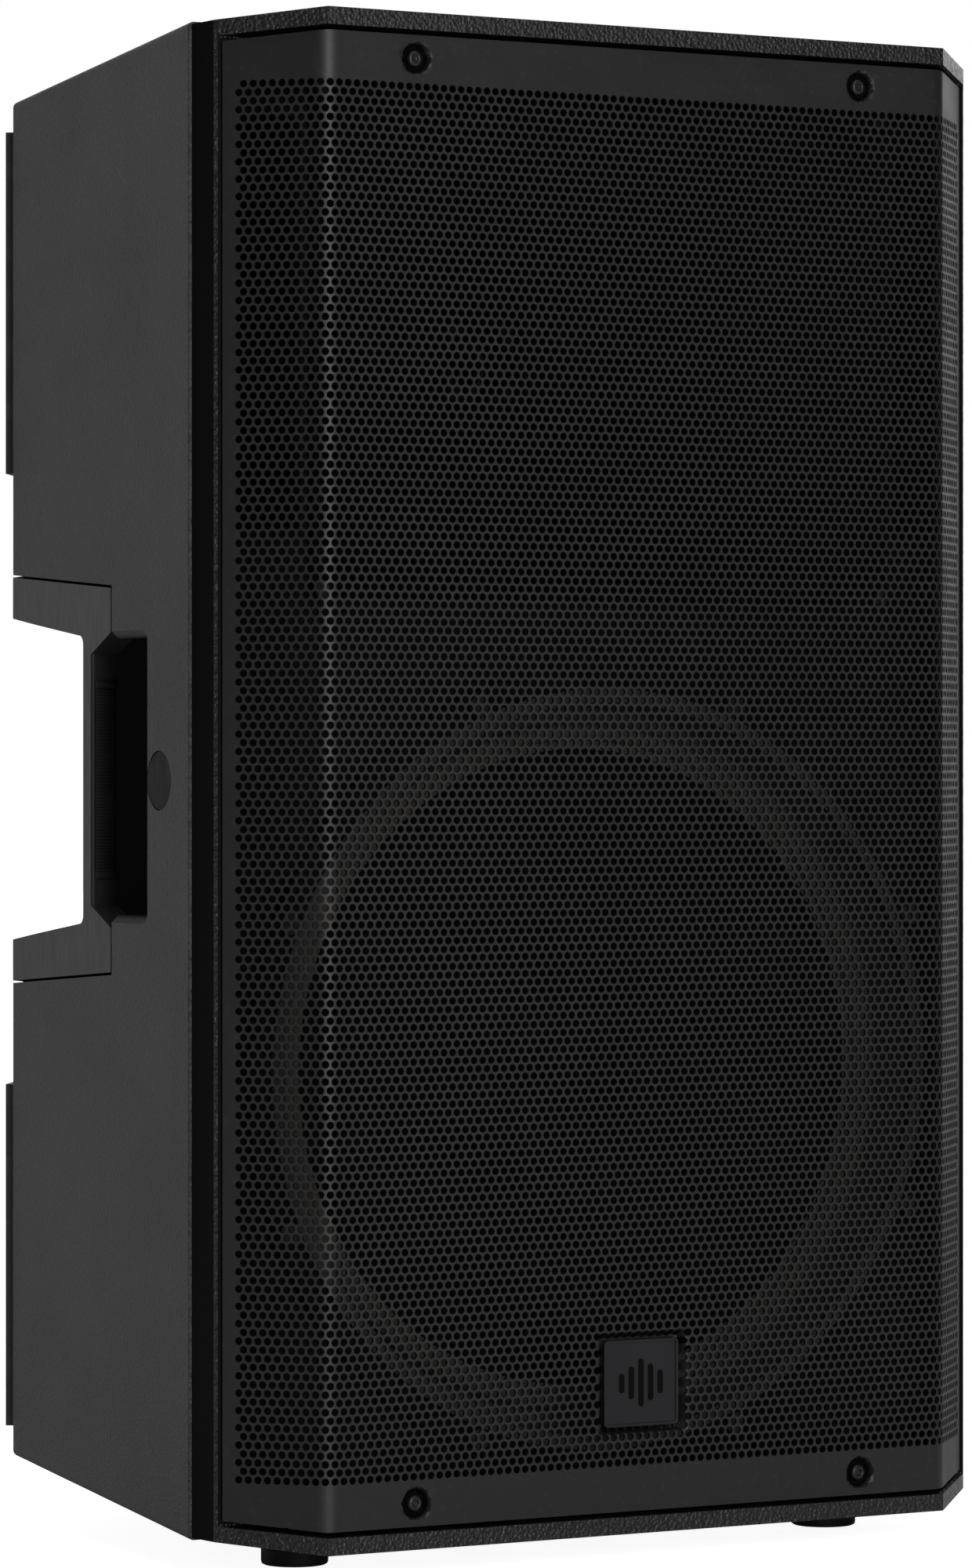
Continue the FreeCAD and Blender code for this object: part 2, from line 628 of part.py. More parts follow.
def build_woofer():
    """Fifteen inch class woofer: frame, motor, moving cone assembly and its suspensions."""
    seat = "facet_depth - flange_thick"
    z = "woofer_height"
    basket = turned(
        "basket_form",
        [
            ("surround_radius + surround_fit", seat), ("flange_radius", seat),
            ("flange_radius", "facet_depth"), ("board_opening - 1", "facet_depth"),
            ("board_opening - 1", "basket_bend"), ("basket_back_radius", "basket_back"),
            ("basket_back_radius", "plate_front"), ("pole_radius + 22", "plate_front"),
            ("pole_radius + 22", "plate_front - basket_wall"),
            ("spider_radius + 0.3", "plate_front - basket_wall"),
            ("spider_radius + 0.3", "spider_depth + 0.85"),
            ("basket_back_radius - basket_wall", "spider_depth + 0.85"),
            ("basket_back_radius - basket_wall", "basket_back - 4"),
            ("surround_radius + surround_fit", "basket_bend - 1"),
        ],
        z,
    )
    cutters = []
    for index in range(4):
        window = block(
            f"basket_window_{index}", ("-window_half", "window_half"),
            ("window_front", "window_back"), ("-board_opening", "board_opening"),
        )
        turn = FreeCAD.Rotation(FreeCAD.Vector(0, 1, 0), 45.0 * (index + 0.5))
        corner = turn.multVec(
            FreeCAD.Vector(-evaluate("window_half"), 0, -evaluate("board_opening"))
        )
        start_y = evaluate(from_front("window_front"))
        start = FreeCAD.Vector(corner.x, start_y, evaluate(z) + corner.z)
        window.Placement = FreeCAD.Placement(start, turn)
        cutters.append(window)
    through = ("20", "facet_depth + 5")
    for index, (x, hole_z) in enumerate(around(8, "bolt_circle", z)):
        cutters.append(rod(f"flange_hole_{index}", "bolt_radius", x, through, hole_z))
    done("woofer_basket", cut("basket", basket, *cutters))
    gasket = ring(
        "gasket", "bolt_circle - bolt_head - 0.4", "surround_radius - 1.5", "0",
        (f"{seat} - 1.5", seat), z,
    )
    done("woofer_gasket", gasket)
    screws(
        "woofer_screws", around(8, "bolt_circle", z), seat, "bolt_head", "spigot_depth - 14",
        "bolt_radius - 0.2",
    )
    plate_back = "plate_front + plate_thick"
    magnet_back = f"{plate_back} + magnet_thick"
    top_plate = ring(
        "top_plate", "plate_radius", "gap_radius", "0", ("plate_front", plate_back), z
    )
    done("woofer_top_plate", top_plate)
    magnet = ring("magnet", "magnet_radius", "magnet_hole", "0", (plate_back, magnet_back), z)
    done("woofer_magnet", magnet)
    yoke = turned(
        "yoke",
        [
            ("pole_vent", "plate_front"), ("pole_radius", "plate_front"),
            ("pole_radius", magnet_back),
            ("plate_radius", magnet_back), ("plate_radius", f"{magnet_back} + plate_thick"),
            ("pole_vent", f"{magnet_back} + plate_thick"),
        ],
        z,
    )
    done("woofer_pole_yoke", yoke)
    cone = turned(
        "cone",
        [
            ("coil_outside", "cone_neck"), ("cone_radius", "cone_front"),
            ("cone_radius", "cone_front + cone_wall"), ("coil_outside", "cone_neck + cone_wall * 2"),
        ],
        z,
    )
    done("woofer_cone", cone)
    coil_span = ("cone_neck - 2", "coil_back")
    coil = ring("coil", "coil_outside - 0.05", "coil_inside", "0", coil_span, z)
    done("woofer_voice_coil", coil)
    neck = "cone_neck - (cap_radius - coil_outside) * 0.4"
    cap = turned(
        "cap",
        [
            ("0", f"{neck} - 16"), ("cap_radius * 0.4", f"{neck} - 14"),
            ("cap_radius * 0.75", f"{neck} - 8"),
            ("cap_radius", f"{neck} - 0.4"), ("cap_radius - 3", f"{neck} - 0.4"),
            ("cap_radius * 0.72", f"{neck} - 6"), ("cap_radius * 0.38", f"{neck} - 12"),
            ("0", f"{neck} - 14"),
        ],
        z,
    )
    done("woofer_dust_cap", cap)
    surround = turned(
        "surround",
        [
            ("cone_radius + 0.3", "cone_front"), ("cone_radius + 4", "cone_front"),
            ("cone_radius + 6", "cone_front - 7"), ("cone_radius + 11", "cone_front - 10"),
            ("cone_radius + 16", "cone_front - 7"), ("surround_radius - 3", "facet_depth + 12"),
            ("surround_radius - 1", "facet_depth + 0.5"), ("surround_radius", "facet_depth - 3"),
            ("surround_radius - 1.6", "facet_depth - 3"), ("surround_radius - 4", "facet_depth + 11"),
            ("cone_radius + 15", "cone_front - 9"), ("cone_radius + 11", "cone_front - 12"),
            ("cone_radius + 5", "cone_front - 9"), ("cone_radius + 3", "cone_front - 1.4"),
            ("cone_radius + 0.3", "cone_front - 1.4"),
        ],
        z,
    )
    done("woofer_surround", surround)
    half_waves = 8
    pitch = f"(spider_radius - coil_outside - 1) / {half_waves}"
    front_line = []
    for step in range(half_waves + 1):
        radius = f"coil_outside + 0.5 + {step} * {pitch}"
        front_line.append((radius, f"spider_depth + {2 * (step % 2)}"))
    front_line.append(("spider_radius + spider_rim", "spider_depth"))
    back_line = [(radius, f"{depth} + 0.8") for radius, depth in reversed(front_line)]
    done("woofer_spider", turned("spider", front_line + back_line, z))
    terminal = block(
        "woofer_terminal_block", ("basket_back_radius * 0.5", "basket_back_radius * 0.5 + 18"),
        ("plate_front + 0.2", "plate_front + 12"),
        (f"{z} + basket_back_radius - 12", f"{z} + basket_back_radius - 2"),
    )
    done("woofer_terminal", terminal)


def build_horn():
    """Rectangular horn with its compression driver."""
    z = "horn_height"
    seat = "facet_depth - flange_thick"
    flange = block(
        "horn_flange", ("-horn_flange_half", "horn_flange_half"), (seat, "facet_depth"),
        (f"{z} - horn_flange_rise", f"{z} + horn_flange_rise"),
    )

    def flare(name, grow):
        bend = f"horn_bend + {grow} * 0.5"
        mouth = frustum(
            f"{name}_mouth", (seat, bend),
            (f"horn_half + {grow}", f"horn_bend_half + {grow}"),
            (f"horn_rise + {grow}", f"horn_bend_rise + {grow}"), centre=z,
        )
        throat = frustum(
            f"{name}_throat", (bend, "horn_throat"),
            (f"horn_bend_half + {grow}", f"throat_radius + {grow}"),
            (f"horn_bend_rise + {grow}", f"throat_radius + {grow}"), centre=z,
        )
        return fuse(name, mouth, throat)

    outer = flare("horn_outer", "horn_wall")
    inner = flare("horn_inner", "0")
    places = [
        (f"{side} * (horn_flange_half - 4)", f"{z} + {level} * (horn_flange_rise - 4)")
        for side in (-1, 1) for level in (-1, 1)
    ]
    plate_span = ("horn_throat - 5", "horn_throat")
    plate = rod("horn_throat_plate", "driver_radius * 0.7", "0", plate_span, z)
    hole_span = ("horn_throat - 6", "horn_throat + 1")
    throat_hole = rod("horn_throat_hole", "throat_radius", "0", hole_span, z)
    holes = [
        rod(f"horn_hole_{index}", "bolt_radius", x, ("20", "facet_depth + 5"), hole_z)
        for index, (x, hole_z) in enumerate(places)
    ]
    solid = fuse("horn_solid", flange, outer, plate)
    done("horn_waveguide", cut("horn", solid, inner, throat_hole, *holes))
    screws(
        "horn_screws", places, seat, "bolt_head - 1.2", "facet_depth - 0.2", "bolt_radius - 0.2"
    )
    body = turned(
        "driver_form",
        [
            ("throat_radius", "driver_front"), ("driver_radius", "driver_front"),
            ("driver_radius", "driver_back"),
            ("throat_radius", "driver_back"), ("throat_radius", "driver_back - driver_wall"),
            ("driver_radius - driver_wall", "driver_back - driver_wall"),
            ("driver_radius - driver_wall", "driver_front + driver_wall * 2"),
            ("throat_radius", "driver_front + driver_wall * 2"),
        ],
        z,
    )
    done("driver_body", body)
    dome_front = "driver_front + driver_wall * 2 + dome_travel_gap"
    dome = turned(
        "dome",
        [
            ("0", f"{dome_front} + 9"), ("dome_radius * 0.5", f"{dome_front} + 6"),
            ("dome_radius", dome_front),
            ("dome_radius", f"{dome_front} + 6"), ("dome_radius - 1", f"{dome_front} + 6"),
            ("dome_radius - 1", f"{dome_front} + 1.2"), ("dome_radius * 0.5", f"{dome_front} + 6.8"),
            ("0", f"{dome_front} + 9.8"),
        ],
        z,
    )
    done("driver_diaphragm", dome)
    cover = turned(
        "driver_cover_form",
        [
            ("0", "driver_back + 0.1"), ("driver_radius * 0.9", "driver_back + 0.1"),
            ("driver_radius * 0.9", "driver_back + 6"), ("driver_radius * 0.7", "cover_back"),
            ("0", "cover_back"),
        ],
        z,
    )
    done("driver_rear_cover", cover)
    phase = turned(
        "phase_plug_form",
        [
            ("0", "driver_front + 2"), ("throat_radius - 4", "driver_front + 23"),
            ("0", "driver_front + 23"),
        ],
        z,
    )
    done("driver_phase_plug", phase)


def build_ducts():
    """Reflex ducts on both sides of the horn."""
    outer = block(
        "duct_outer", ("duct_inside + 0.2", "duct_outside - 0.2"),
        ("facet_depth", "duct_back"), ("duct_low + 0.2", "duct_high - 0.2"),
    )
    bore = block(
        "duct_bore", ("duct_inside + duct_wall", "duct_outside - duct_wall"),
        ("facet_depth - 1", "duct_back + 1"), ("duct_low + duct_wall", "duct_high - duct_wall"),
    )
    both_sides("port_duct", cut("duct", outer, bore))


def build_handles(full):
    """Side handles: a frame flush with the side, a rubber grip on its bar, and the side plugs."""
    seat = seat_block("frame_seat", "-seat_gap")
    blank = common("frame_blank", full, seat)
    far_x = "side_half + shell_wall * 2"
    near_x = "pocket_floor - shell_wall"
    front = "bar_back"
    back = "(seat_back + 60)"
    slope = "(notch_back_rise - notch_front_rise) / (corner_depth - bar_back)"
    spread = f"{slope} * ({back} - {front})"

    def notch(front_slant, back_slant):
        return [
            (f"{front} + {front_slant}", below(f"notch_front_rise - {front_slant}")),
            (back, below(f"notch_front_rise + {spread} - {back_slant}")),
            (back, above(f"notch_front_rise + {spread} - {back_slant}")),
            (f"{front} + {front_slant}", above(f"notch_front_rise - {front_slant}")),
        ]

    notch_form = side_loft(
        "frame_notch", notch("0", "0"), far_x, notch("notch_front_slant", "notch_back_slant"),
        near_x,
    )
    document.recompute()
    notch_front = evaluate(from_front("bar_back + notch_front_slant")) + 1.0

    def at_bar(edge):
        across = abs(edge.Vertexes[0].X - edge.Vertexes[-1].X) > 20
        return evaluate("notch_corner") if across and edge.Vertexes[0].Y < notch_front else 0.0

    opening = round_edges("frame_notch_round", notch_form, at_bar)
    gusset = [
        ("pocket_front", below("gusset_top + 1")), ("seat_front", below("gusset_top")),
        ("bar_front", below("gusset_rise")), ("bar_front", above("gusset_rise")),
        ("seat_front", above("gusset_top")), ("pocket_front", above("gusset_top + 1")),
    ]
    front_gap = side_loft("frame_front_gap", gusset, far_x, gusset, near_x)
    grip_space = block(
        "frame_grip_space", ("bar_inside - 1", "skin_inside"), ("bar_front - 1", "grip_back"),
        ("grip_low", "grip_high"),
    )
    inner = block(
        "frame_inner_trim", (near_x, "bar_inside"), ("seat_front - 2", "seat_back - 20"),
        (below("gusset_top + 4"), above("gusset_top + 4")),
    )
    trimmed = cut("handle_frame", blank, opening, front_gap, grip_space, inner)

    def bar_edge(edge):
        start, end = edge.Vertexes[0], edge.Vertexes[-1]
        upright = abs(start.Z - end.Z) > 2 * evaluate("gusset_rise") - 2
        at_front = abs(start.Y - evaluate(from_front("bar_front"))) < 0.1
        outer = min(start.X, end.X) > evaluate("skin_inside") + 0.5
        return evaluate("bar_bevel") if upright and at_front and outer else 0.0

    both_sides("handle_frame", round_edges("handle_frame_round", trimmed, bar_edge))
    core = block(
        "grip_core", ("bar_inside + 0.1", "skin_inside - 0.1"),
        ("bar_front - 0.4", "grip_back - 0.1"), ("grip_low + 0.2", "grip_high - 0.2"),
    )

    def inner_front(edge):
        tall = abs(edge.Vertexes[0].Z - edge.Vertexes[-1].Z) > 20
        front_edge = edge.Vertexes[0].Y < evaluate(from_front("bar_front"))
        inner = edge.Vertexes[0].X < evaluate("bar_inside") + 1
        return 2.0 if tall and front_edge and inner else 0.0

    rounded = round_edges("grip_rounded", core, inner_front)
    both_sides("handle_grip", rounded)
    plug = make(
        "Cylinder", "plug_disc", ("side_half - 6", from_front("plug_depth"), "mid_height"),
        ALONG_X, Radius="plug_radius", Height="plug_thick",
    )
    done("side_plugs", group("plug_group", [plug, mirrored("plug_mirror", plug)]))
    sleeve_x = "side_half - 7 - insert_long"
    sleeve = make(
        "Cylinder", "insert_sleeve", (sleeve_x, from_front("plug_depth"), "mid_height"), ALONG_X,
        Radius="insert_radius", Height="insert_long",
    )
    bore = make(
        "Cylinder", "insert_bore", (f"{sleeve_x} - 1", from_front("plug_depth"), "mid_height"),
        ALONG_X, Radius="thread_radius", Height="insert_long + 3",
    )
    side_insert = cut("side_insert", sleeve, bore)
    rear_insert = ring(
        "rear_insert", "insert_radius - 0.05", "thread_radius", "0",
        ("rear_depth - insert_long", "rear_depth"), above("rear_insert_rise"),
    )
    inserts = [side_insert, mirrored("side_insert_mirror", side_insert), rear_insert]
    done("rigging_inserts", group("insert_group", inserts))


def build_feet():
    """Rubber feet with their screws, the corner rails and the pole socket."""
    feet = []
    fixings = []
    for side in (-1, 1):
        for end in ("front", "rear"):
            index = len(feet)
            x = f"{side} * foot_{end}_x"
            depth = f"foot_{end}"
            disc = post(f"foot_disc_{index}", "foot_radius", x, depth, ("0", "foot_high"))
            well = post(f"foot_well_{index}", "foot_head + 0.3", x, depth, ("-1", "foot_high - 3"))
            hole = post(f"foot_through_{index}", "foot_screw", x, depth, ("-1", "foot_high + 1"))
            feet.append(cut(f"foot_{index}", disc, well, hole))
            head_span = ("foot_high - 5.5", "foot_high - 3")
            head = post(f"foot_head_{index}", "foot_head", x, depth, head_span)
            shank_span = ("foot_high - 4", "foot_high + 12")
            shank = post(f"foot_shank_{index}", "foot_screw - 0.1", x, depth, shank_span)
            fixings.append(fuse(f"foot_fixing_{index}", head, shank))
    done("rubber_feet", group("feet_group", feet))
    done("foot_screws", group("foot_screw_group", fixings))
    tilt = FreeCAD.Rotation(FreeCAD.Vector(0, 0, 1), evaluate("rail_tilt"))
    along = tilt.multVec(FreeCAD.Vector(0, 1, 0))
    rails = []
    for level, low in (("upper", "mid_height + rail_low"), ("lower", "mid_height - rail_high")):
        rail = make(
            "Box", f"{level}_rail",
            (
                f"corner_half + rail_offset * {along.x}",
                from_front(f"corner_depth + rail_offset * {along.y}"), low,
            ),
            tilt, Length="rail_thick", Width="rail_wide", Height="rail_high - rail_low",
        )
        rails.append(rail)
    both_sides("corner_rails", group("rails", rails))
    flange = post("pole_flange_disc", "pole_flange", "0", "pole_depth", ("pole_low", "pole_seat"))
    tube = post("pole_tube_wall", "pole_tube", "0", "pole_depth", ("pole_low", "pole_bore_top + 5"))
    bore = post("pole_bore_hole", "pole_bore", "0", "pole_depth", ("pole_low - 1", "pole_bore_top"))
    done("pole_socket", cut("pole_cup", fuse("pole_solid", flange, tube), bore))


def keyway(name, x, depth):
    """Space that a connector's latch moves in, above its socket."""
    return block(
        name, (f"{x} - latch_half - 0.4", f"{x} + latch_half + 0.4"), depth,
        ("connector_height + key_low", "connector_height + key_high"),
    )


def panel_faces():
    """Depths of the panel's seat, of its inner face and of its outer face."""
    return "rear_depth", "(rear_depth + gasket_thick)", "(rear_depth + gasket_thick + amp_thick)"


def lamp_places():
    """Where the status lamps sit in the panel."""
    for index in range(4):
        yield f"{index - 1} * lamp_pitch", "control_height + lamp_rise"


def build_panel():
    """Amplifier panel with its gasket, screws and cooling fins."""
    back, inside, face = panel_faces()
    low, high = "amp_height - amp_rise", "amp_height + amp_rise"
    gasket = block(
        "amp_gasket_block", ("-amp_half", "amp_half"),
        (f"{back} + 0.05", f"{back} + gasket_thick"), (low, high),
    )
    window = block(
        "amp_gasket_window", ("-amp_open_half", "amp_open_half"), (back, f"{back} + 5"),
        ("amp_height - amp_open_rise", "amp_height + amp_open_rise"),
    )
    done("amp_gasket", cut("amp_gasket", gasket, window))
    plate = block("amp_plate_block", ("-amp_half", "amp_half"), (inside, face), (low, high))
    through = (back, f"{back} + 8")
    holes = []
    for x, name in (("-input_x", "combo"), ("input_x", "xlr")):
        holes.append(rod(f"{name}_cutout", "shell_radius", x, through, "connector_height"))
        holes.append(keyway(f"{name}_plate_keyway", x, through))
    for x, name in (("-input_x", "inlet"), ("0", "outlet")):
        holes.append(
            block(
                f"{name}_cutout", (f"{x} - mains_half + 2", f"{x} + mains_half - 2"), through,
                ("mains_height - mains_rise + 2", "mains_height + mains_rise - 2"),
            )
        )
    holes.append(
        block(
            "rocker_cutout", ("rocker_x - rocker_half - 1.5", "rocker_x + rocker_half + 1.5"),
            through, ("mains_height - rocker_rise - 1.5", "mains_height + rocker_rise + 1.5"),
        )
    )
    holes.append(
        rod("spindle_cutout", "spindle_radius + 0.6", "-input_x", through, "control_height")
    )
    for x, name in (("0", "preset"), ("input_x", "ground_lift")):
        holes.append(rod(f"{name}_cutout", "button_radius + 0.4", x, through, "control_height"))
    for index, (x, z) in enumerate(lamp_places()):
        holes.append(rod(f"led_cutout_{index}", "lamp_radius + 0.1", x, through, z))
    done("amp_plate", cut("amp_plate", plate, *holes))
    heads = []
    for side in (-1, 1):
        for level in (-2, -1, 0, 1, 2):
            x = f"{side} * (amp_half - 4)"
            z = f"amp_height + {level} * (amp_rise - 12) / 2"
            heads.append(rod(f"amp_screw_{len(heads)}", "3.2", x, (face, f"{face} + 2.2"), z))
    done("amp_screws", group("amp_screw_group", heads))
    fin_base = f"{face} + sink_base"
    base = block(
        "sink_plate", ("-sink_half", "sink_half"), (face, fin_base), ("sink_low", "sink_high")
    )
    fins = []
    fin_count = 15
    for index in range(fin_count):
        x = f"-sink_half + {index} * (2 * sink_half - fin_thick) / {fin_count - 1}"
        fin_span = (fin_base, f"{fin_base} + fin_high")
        fins.append(
            block(f"fin_{index}", (x, f"{x} + fin_thick"), fin_span, ("sink_low", "sink_high"))
        )
    done("heat_sink", fuse("heat_sink", base, *fins))


def build_connectors():
    """Signal and mains connectors in the panel, with the latch and the contacts."""
    face = panel_faces()[2]
    z = "connector_height"
    bottom = f"{face} - connector_deep + 4"
    for x, name, bore in (("-input_x", "combo_input", "9.5"), ("input_x", "xlr_output", "9.2")):
        flange = block(
            f"{name}_flange", (f"{x} - connector_half", f"{x} + connector_half"),
            (face, f"{face} + connector_face"),
            (f"{z} - connector_rise", f"{z} + connector_rise"),
        )
        barrel_span = (f"{face} - connector_deep", face)
        barrel = rod(f"{name}_barrel", "shell_radius - 0.3", x, barrel_span, z)
        socket = rod(f"{name}_socket", bore, x, (bottom, f"{face} + 5"), z)
        slot = keyway(f"{name}_keyway", x, (f"{face} - 6", f"{face} + 5"))
        done(name, cut(f"{name}_body", fuse(f"{name}_solid", flange, barrel), socket, slot))
    latch = block(
        "latch_block", ("-input_x - latch_half", "-input_x + latch_half"),
        (f"{face} - 4", f"{face} + 4.5"), (f"{z} + latch_low", f"{z} + latch_high"),
    )
    done("combo_latch", latch)
    pins = []
    for across, rise in ((-3.6, 2.0), (3.6, 2.0), (0.0, -4.0)):
        place_x = f"input_x + {across}"
        pins.append(
            rod(
                f"xlr_pin_{len(pins)}", "contact_radius", place_x, (bottom, f"{face} - 3"),
                f"{z} + {rise}",
            )
        )
    done("xlr_pins", group("xlr_pin_group", pins))
    z = "mains_height"
    for x, name in (("-input_x", "power_inlet"), ("0", "power_outlet")):
        flange = block(
            f"{name}_flange", (f"{x} - mains_half", f"{x} + mains_half"),
            (face, f"{face} + connector_face"), (f"{z} - mains_rise", f"{z} + mains_rise"),
        )
        barrel = block(
            f"{name}_barrel", (f"{x} - mains_half + 2.3", f"{x} + mains_half - 2.3"),
            (f"{face} - mains_deep", face),
            (f"{z} - mains_rise + 2.3", f"{z} + mains_rise - 2.3"),
        )
        well = block(
            f"{name}_well", (f"{x} - mains_half + 5", f"{x} + mains_half - 5"),
            (f"{face} - mains_deep + 5", f"{face} + 5"),
            (f"{z} - mains_rise + 5", f"{z} + mains_rise - 5"),
        )
        done(name, cut(f"{name}_body", fuse(f"{name}_solid", flange, barrel), well))


def build_mains_switch():
    """Mains rocker switch: its housing and the lever that tilts on a pin."""
    face = panel_faces()[2]
    z = "mains_height"
    housing = block(
        "rocker_frame", ("rocker_x - rocker_half - 3", "rocker_x + rocker_half + 3"),
        (face, f"{face} + 1.6"), (f"{z} - rocker_rise - 3", f"{z} + rocker_rise + 3"),
    )
    sleeve = block(
        "rocker_sleeve", ("rocker_x - rocker_half - 1.3", "rocker_x + rocker_half + 1.3"),
        (f"{face} - 16", face), (f"{z} - rocker_rise - 1.3", f"{z} + rocker_rise + 1.3"),
    )
    well = block(
        "rocker_well", ("rocker_x - rocker_half", "rocker_x + rocker_half"),
        (f"{face} - 13", f"{face} + 5"), (f"{z} - rocker_rise", f"{z} + rocker_rise"),
    )
    pin_place = (from_front(f"{face} - pin_depth"), z)
    pin_hole = make(
        "Cylinder", "rocker_pin_hole", ("rocker_x - pin_reach - 0.2", *pin_place), ALONG_X,
        Radius="pin_radius + 0.1", Height="2 * pin_reach + 0.4",
    )
    case = fuse("rocker_case", housing, sleeve)
    done("rocker_housing", cut("rocker_housing", case, well, pin_hole))
    outline = [
        (f"{face} - 7", f"{z} - 5"), (f"{face} - 7", f"{z} + 5"),
        (f"{face} + 0.5", f"{z} + rocker_rise - 1.2"),
        (f"{face} + 3.2", f"{z} + rocker_rise - 1.6"), (f"{face} + 1.2", z),
        (f"{face} + 3.2", f"{z} - rocker_rise + 1.6"),
        (f"{face} + 0.5", f"{z} - rocker_rise + 1.2"),
    ]
    lever = side_loft(
        "rocker_lever", outline, "rocker_x - (rocker_half - 0.4)", outline,
        "rocker_x + (rocker_half - 0.4)",
    )
    off_turn = FreeCAD.Rotation(FreeCAD.Vector(1, 0, 0), evaluate("rocker_tilt"))
    pivot = FreeCAD.Vector(0, evaluate(pin_place[0]), evaluate(z))
    lever.Placement = FreeCAD.Placement(pivot - off_turn.multVec(pivot), off_turn)
    pin = make(
        "Cylinder", "rocker_pin", ("rocker_x - pin_reach", *pin_place), ALONG_X,
        Radius="pin_radius", Height="2 * pin_reach",
    )
    done("power_rocker", fuse("power_rocker", lever, pin))


def build_controls():
    """Level knob, push buttons and status lamps, with the parts behind them."""
    face = panel_faces()[2]
    z = "control_height"
    knob = turned(
        "knob",
        [
            ("0", f"{face} + 1 + knob_long"), ("knob_radius - 2.2", f"{face} + 1 + knob_long"),
            ("knob_radius - 1.2", f"{face} + knob_long"), ("knob_radius", f"{face} + 0.6"),
            ("spindle_radius", f"{face} + 0.6"), ("spindle_radius", f"{face} - 2.8"),
            ("0", f"{face} - 2.8"),
        ],
        z, "-input_x",
    )
    pointer = block(
        "knob_pointer", ("-input_x - 0.6", "-input_x + 0.6"),
        (f"{face} + 0.5 + knob_long", f"{face} + 5 + knob_long"), (f"{z} + 1", f"{z} + 9"),
    )
    done("volume_knob", cut("volume_knob", knob, pointer))
    pot = block(
        "pot_case", ("-input_x - 8", "-input_x + 8"), (f"{face} - 15", f"{face} - 4"),
        (f"{z} - 8", f"{z} + 8"),
    )
    done("volume_pot", pot)
    switches = []
    for x, name in (("0", "preset_button"), ("input_x", "ground_lift_button")):
        done(name, rod(f"{name}_cap", "button_radius", x, (f"{face} - 2.4", f"{face} + 3"), z))
        case = block(
            f"{name}_case", (f"{x} - 6", f"{x} + 6"), (f"{face} - 12", f"{face} - 5"),
            (f"{z} - 6", f"{z} + 6"),
        )
        switches.append(case)
    done("push_switches", group("switch_group", switches))
    lamp_span = (f"{face} - 2.5", f"{face} + 0.6")
    lamps = [
        rod(f"lamp_{index}", "lamp_radius", x, lamp_span, lamp_z)
        for index, (x, lamp_z) in enumerate(lamp_places())
    ]
    done("status_leds", group("led_group", lamps))


def build_electronics():
    """Circuit board of the amplifier with its largest parts, behind the panel."""
    inside = panel_faces()[1]
    board_back = f"{inside} - board_depth"
    board = block(
        "pcb_block", ("-amp_open_half + board_edge", "amp_open_half - board_edge"),
        (board_back, f"{board_back} + board_thick"),
        ("amp_height - amp_rise + board_end", "amp_height + amp_rise - board_end"),
    )
    done("amp_board", board)
    mounted = f"{board_back} - 0.2"
    transformer = ring(
        "transformer", "winding_radius", "winding_hole", "0",
        (f"{inside} - winding_back", mounted), "amp_height - winding_drop",
    )
    done("power_transformer", transformer)
    cans = []
    devices = []
    for index in range(4):
        place = f"({index} - 1.5)"
        cans.append(
            rod(
                f"capacitor_{index}", "can_radius", f"{place} * can_pitch",
                (f"{inside} - can_back", mounted), "amp_height + can_rise",
            )
        )
        middle = f"{place} * device_pitch"
        devices.append(
            block(
                f"device_{index}", (f"{middle} - device_wide / 2", f"{middle} + device_wide / 2"),
                (f"{board_back} + board_thick + 0.2", f"{inside} - 0.2"),
                ("amp_height + device_rise", "amp_height + device_rise + device_thick"),
            )
        )
    done("power_capacitors", group("capacitor_group", cans))
    done("output_devices", group("device_group", devices))


def build_wadding():
    """Sound absorbing fleece behind the horn."""
    fleece = block(
        "fleece", ("-fleece_half", "fleece_half"), ("fleece_front", "fleece_back"),
        ("mid_height + fleece_low", "mid_height + fleece_high"),
    )
    done("acoustic_fleece", fleece)


def check_and_write():
    """Stop on any failed feature or bad shape, then write one STEP file per sub-part."""
    document.recompute()
    broken = [thing.Name for thing in document.Objects if {"Invalid", "Error"} & set(thing.State)]
    if broken:
        raise RuntimeError(f"features failed: {broken}")
    for piece in finished:
        if piece.Shape.isNull() or not piece.Shape.isValid() or not piece.Shape.Solids:
            raise RuntimeError(f"bad shape: {piece.Label}")
    os.makedirs("parts", exist_ok=True)
    for piece in finished:
        piece.Shape.exportStep(f"parts/{piece.Label}.step")
        print(piece.Label, len(piece.Shape.Solids), round(piece.Shape.Volume / 1000.0, 2), "cm3")


form = build_shell()
build_front()
build_grille()
build_woofer()
build_horn()
build_ducts()
build_handles(form)
build_feet()
build_panel()
build_connectors()
build_mains_switch()
build_controls()
build_electronics()
build_wadding()
check_and_write()
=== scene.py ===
"""Looks of a two-way loudspeaker cabinet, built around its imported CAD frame.

Each sub-assembly is a class that makes its own pieces and dresses its CAD nodes. Lengths are in
metres in the CAD frame: +X right seen from the front, -Y towards the listener, +Z up.
"""
import logging
import math
from dataclasses import dataclass, field
from enum import Enum
from typing import Any, Callable, Iterable, Sequence

import bpy
import numpy as np
from mathutils import Matrix, Vector


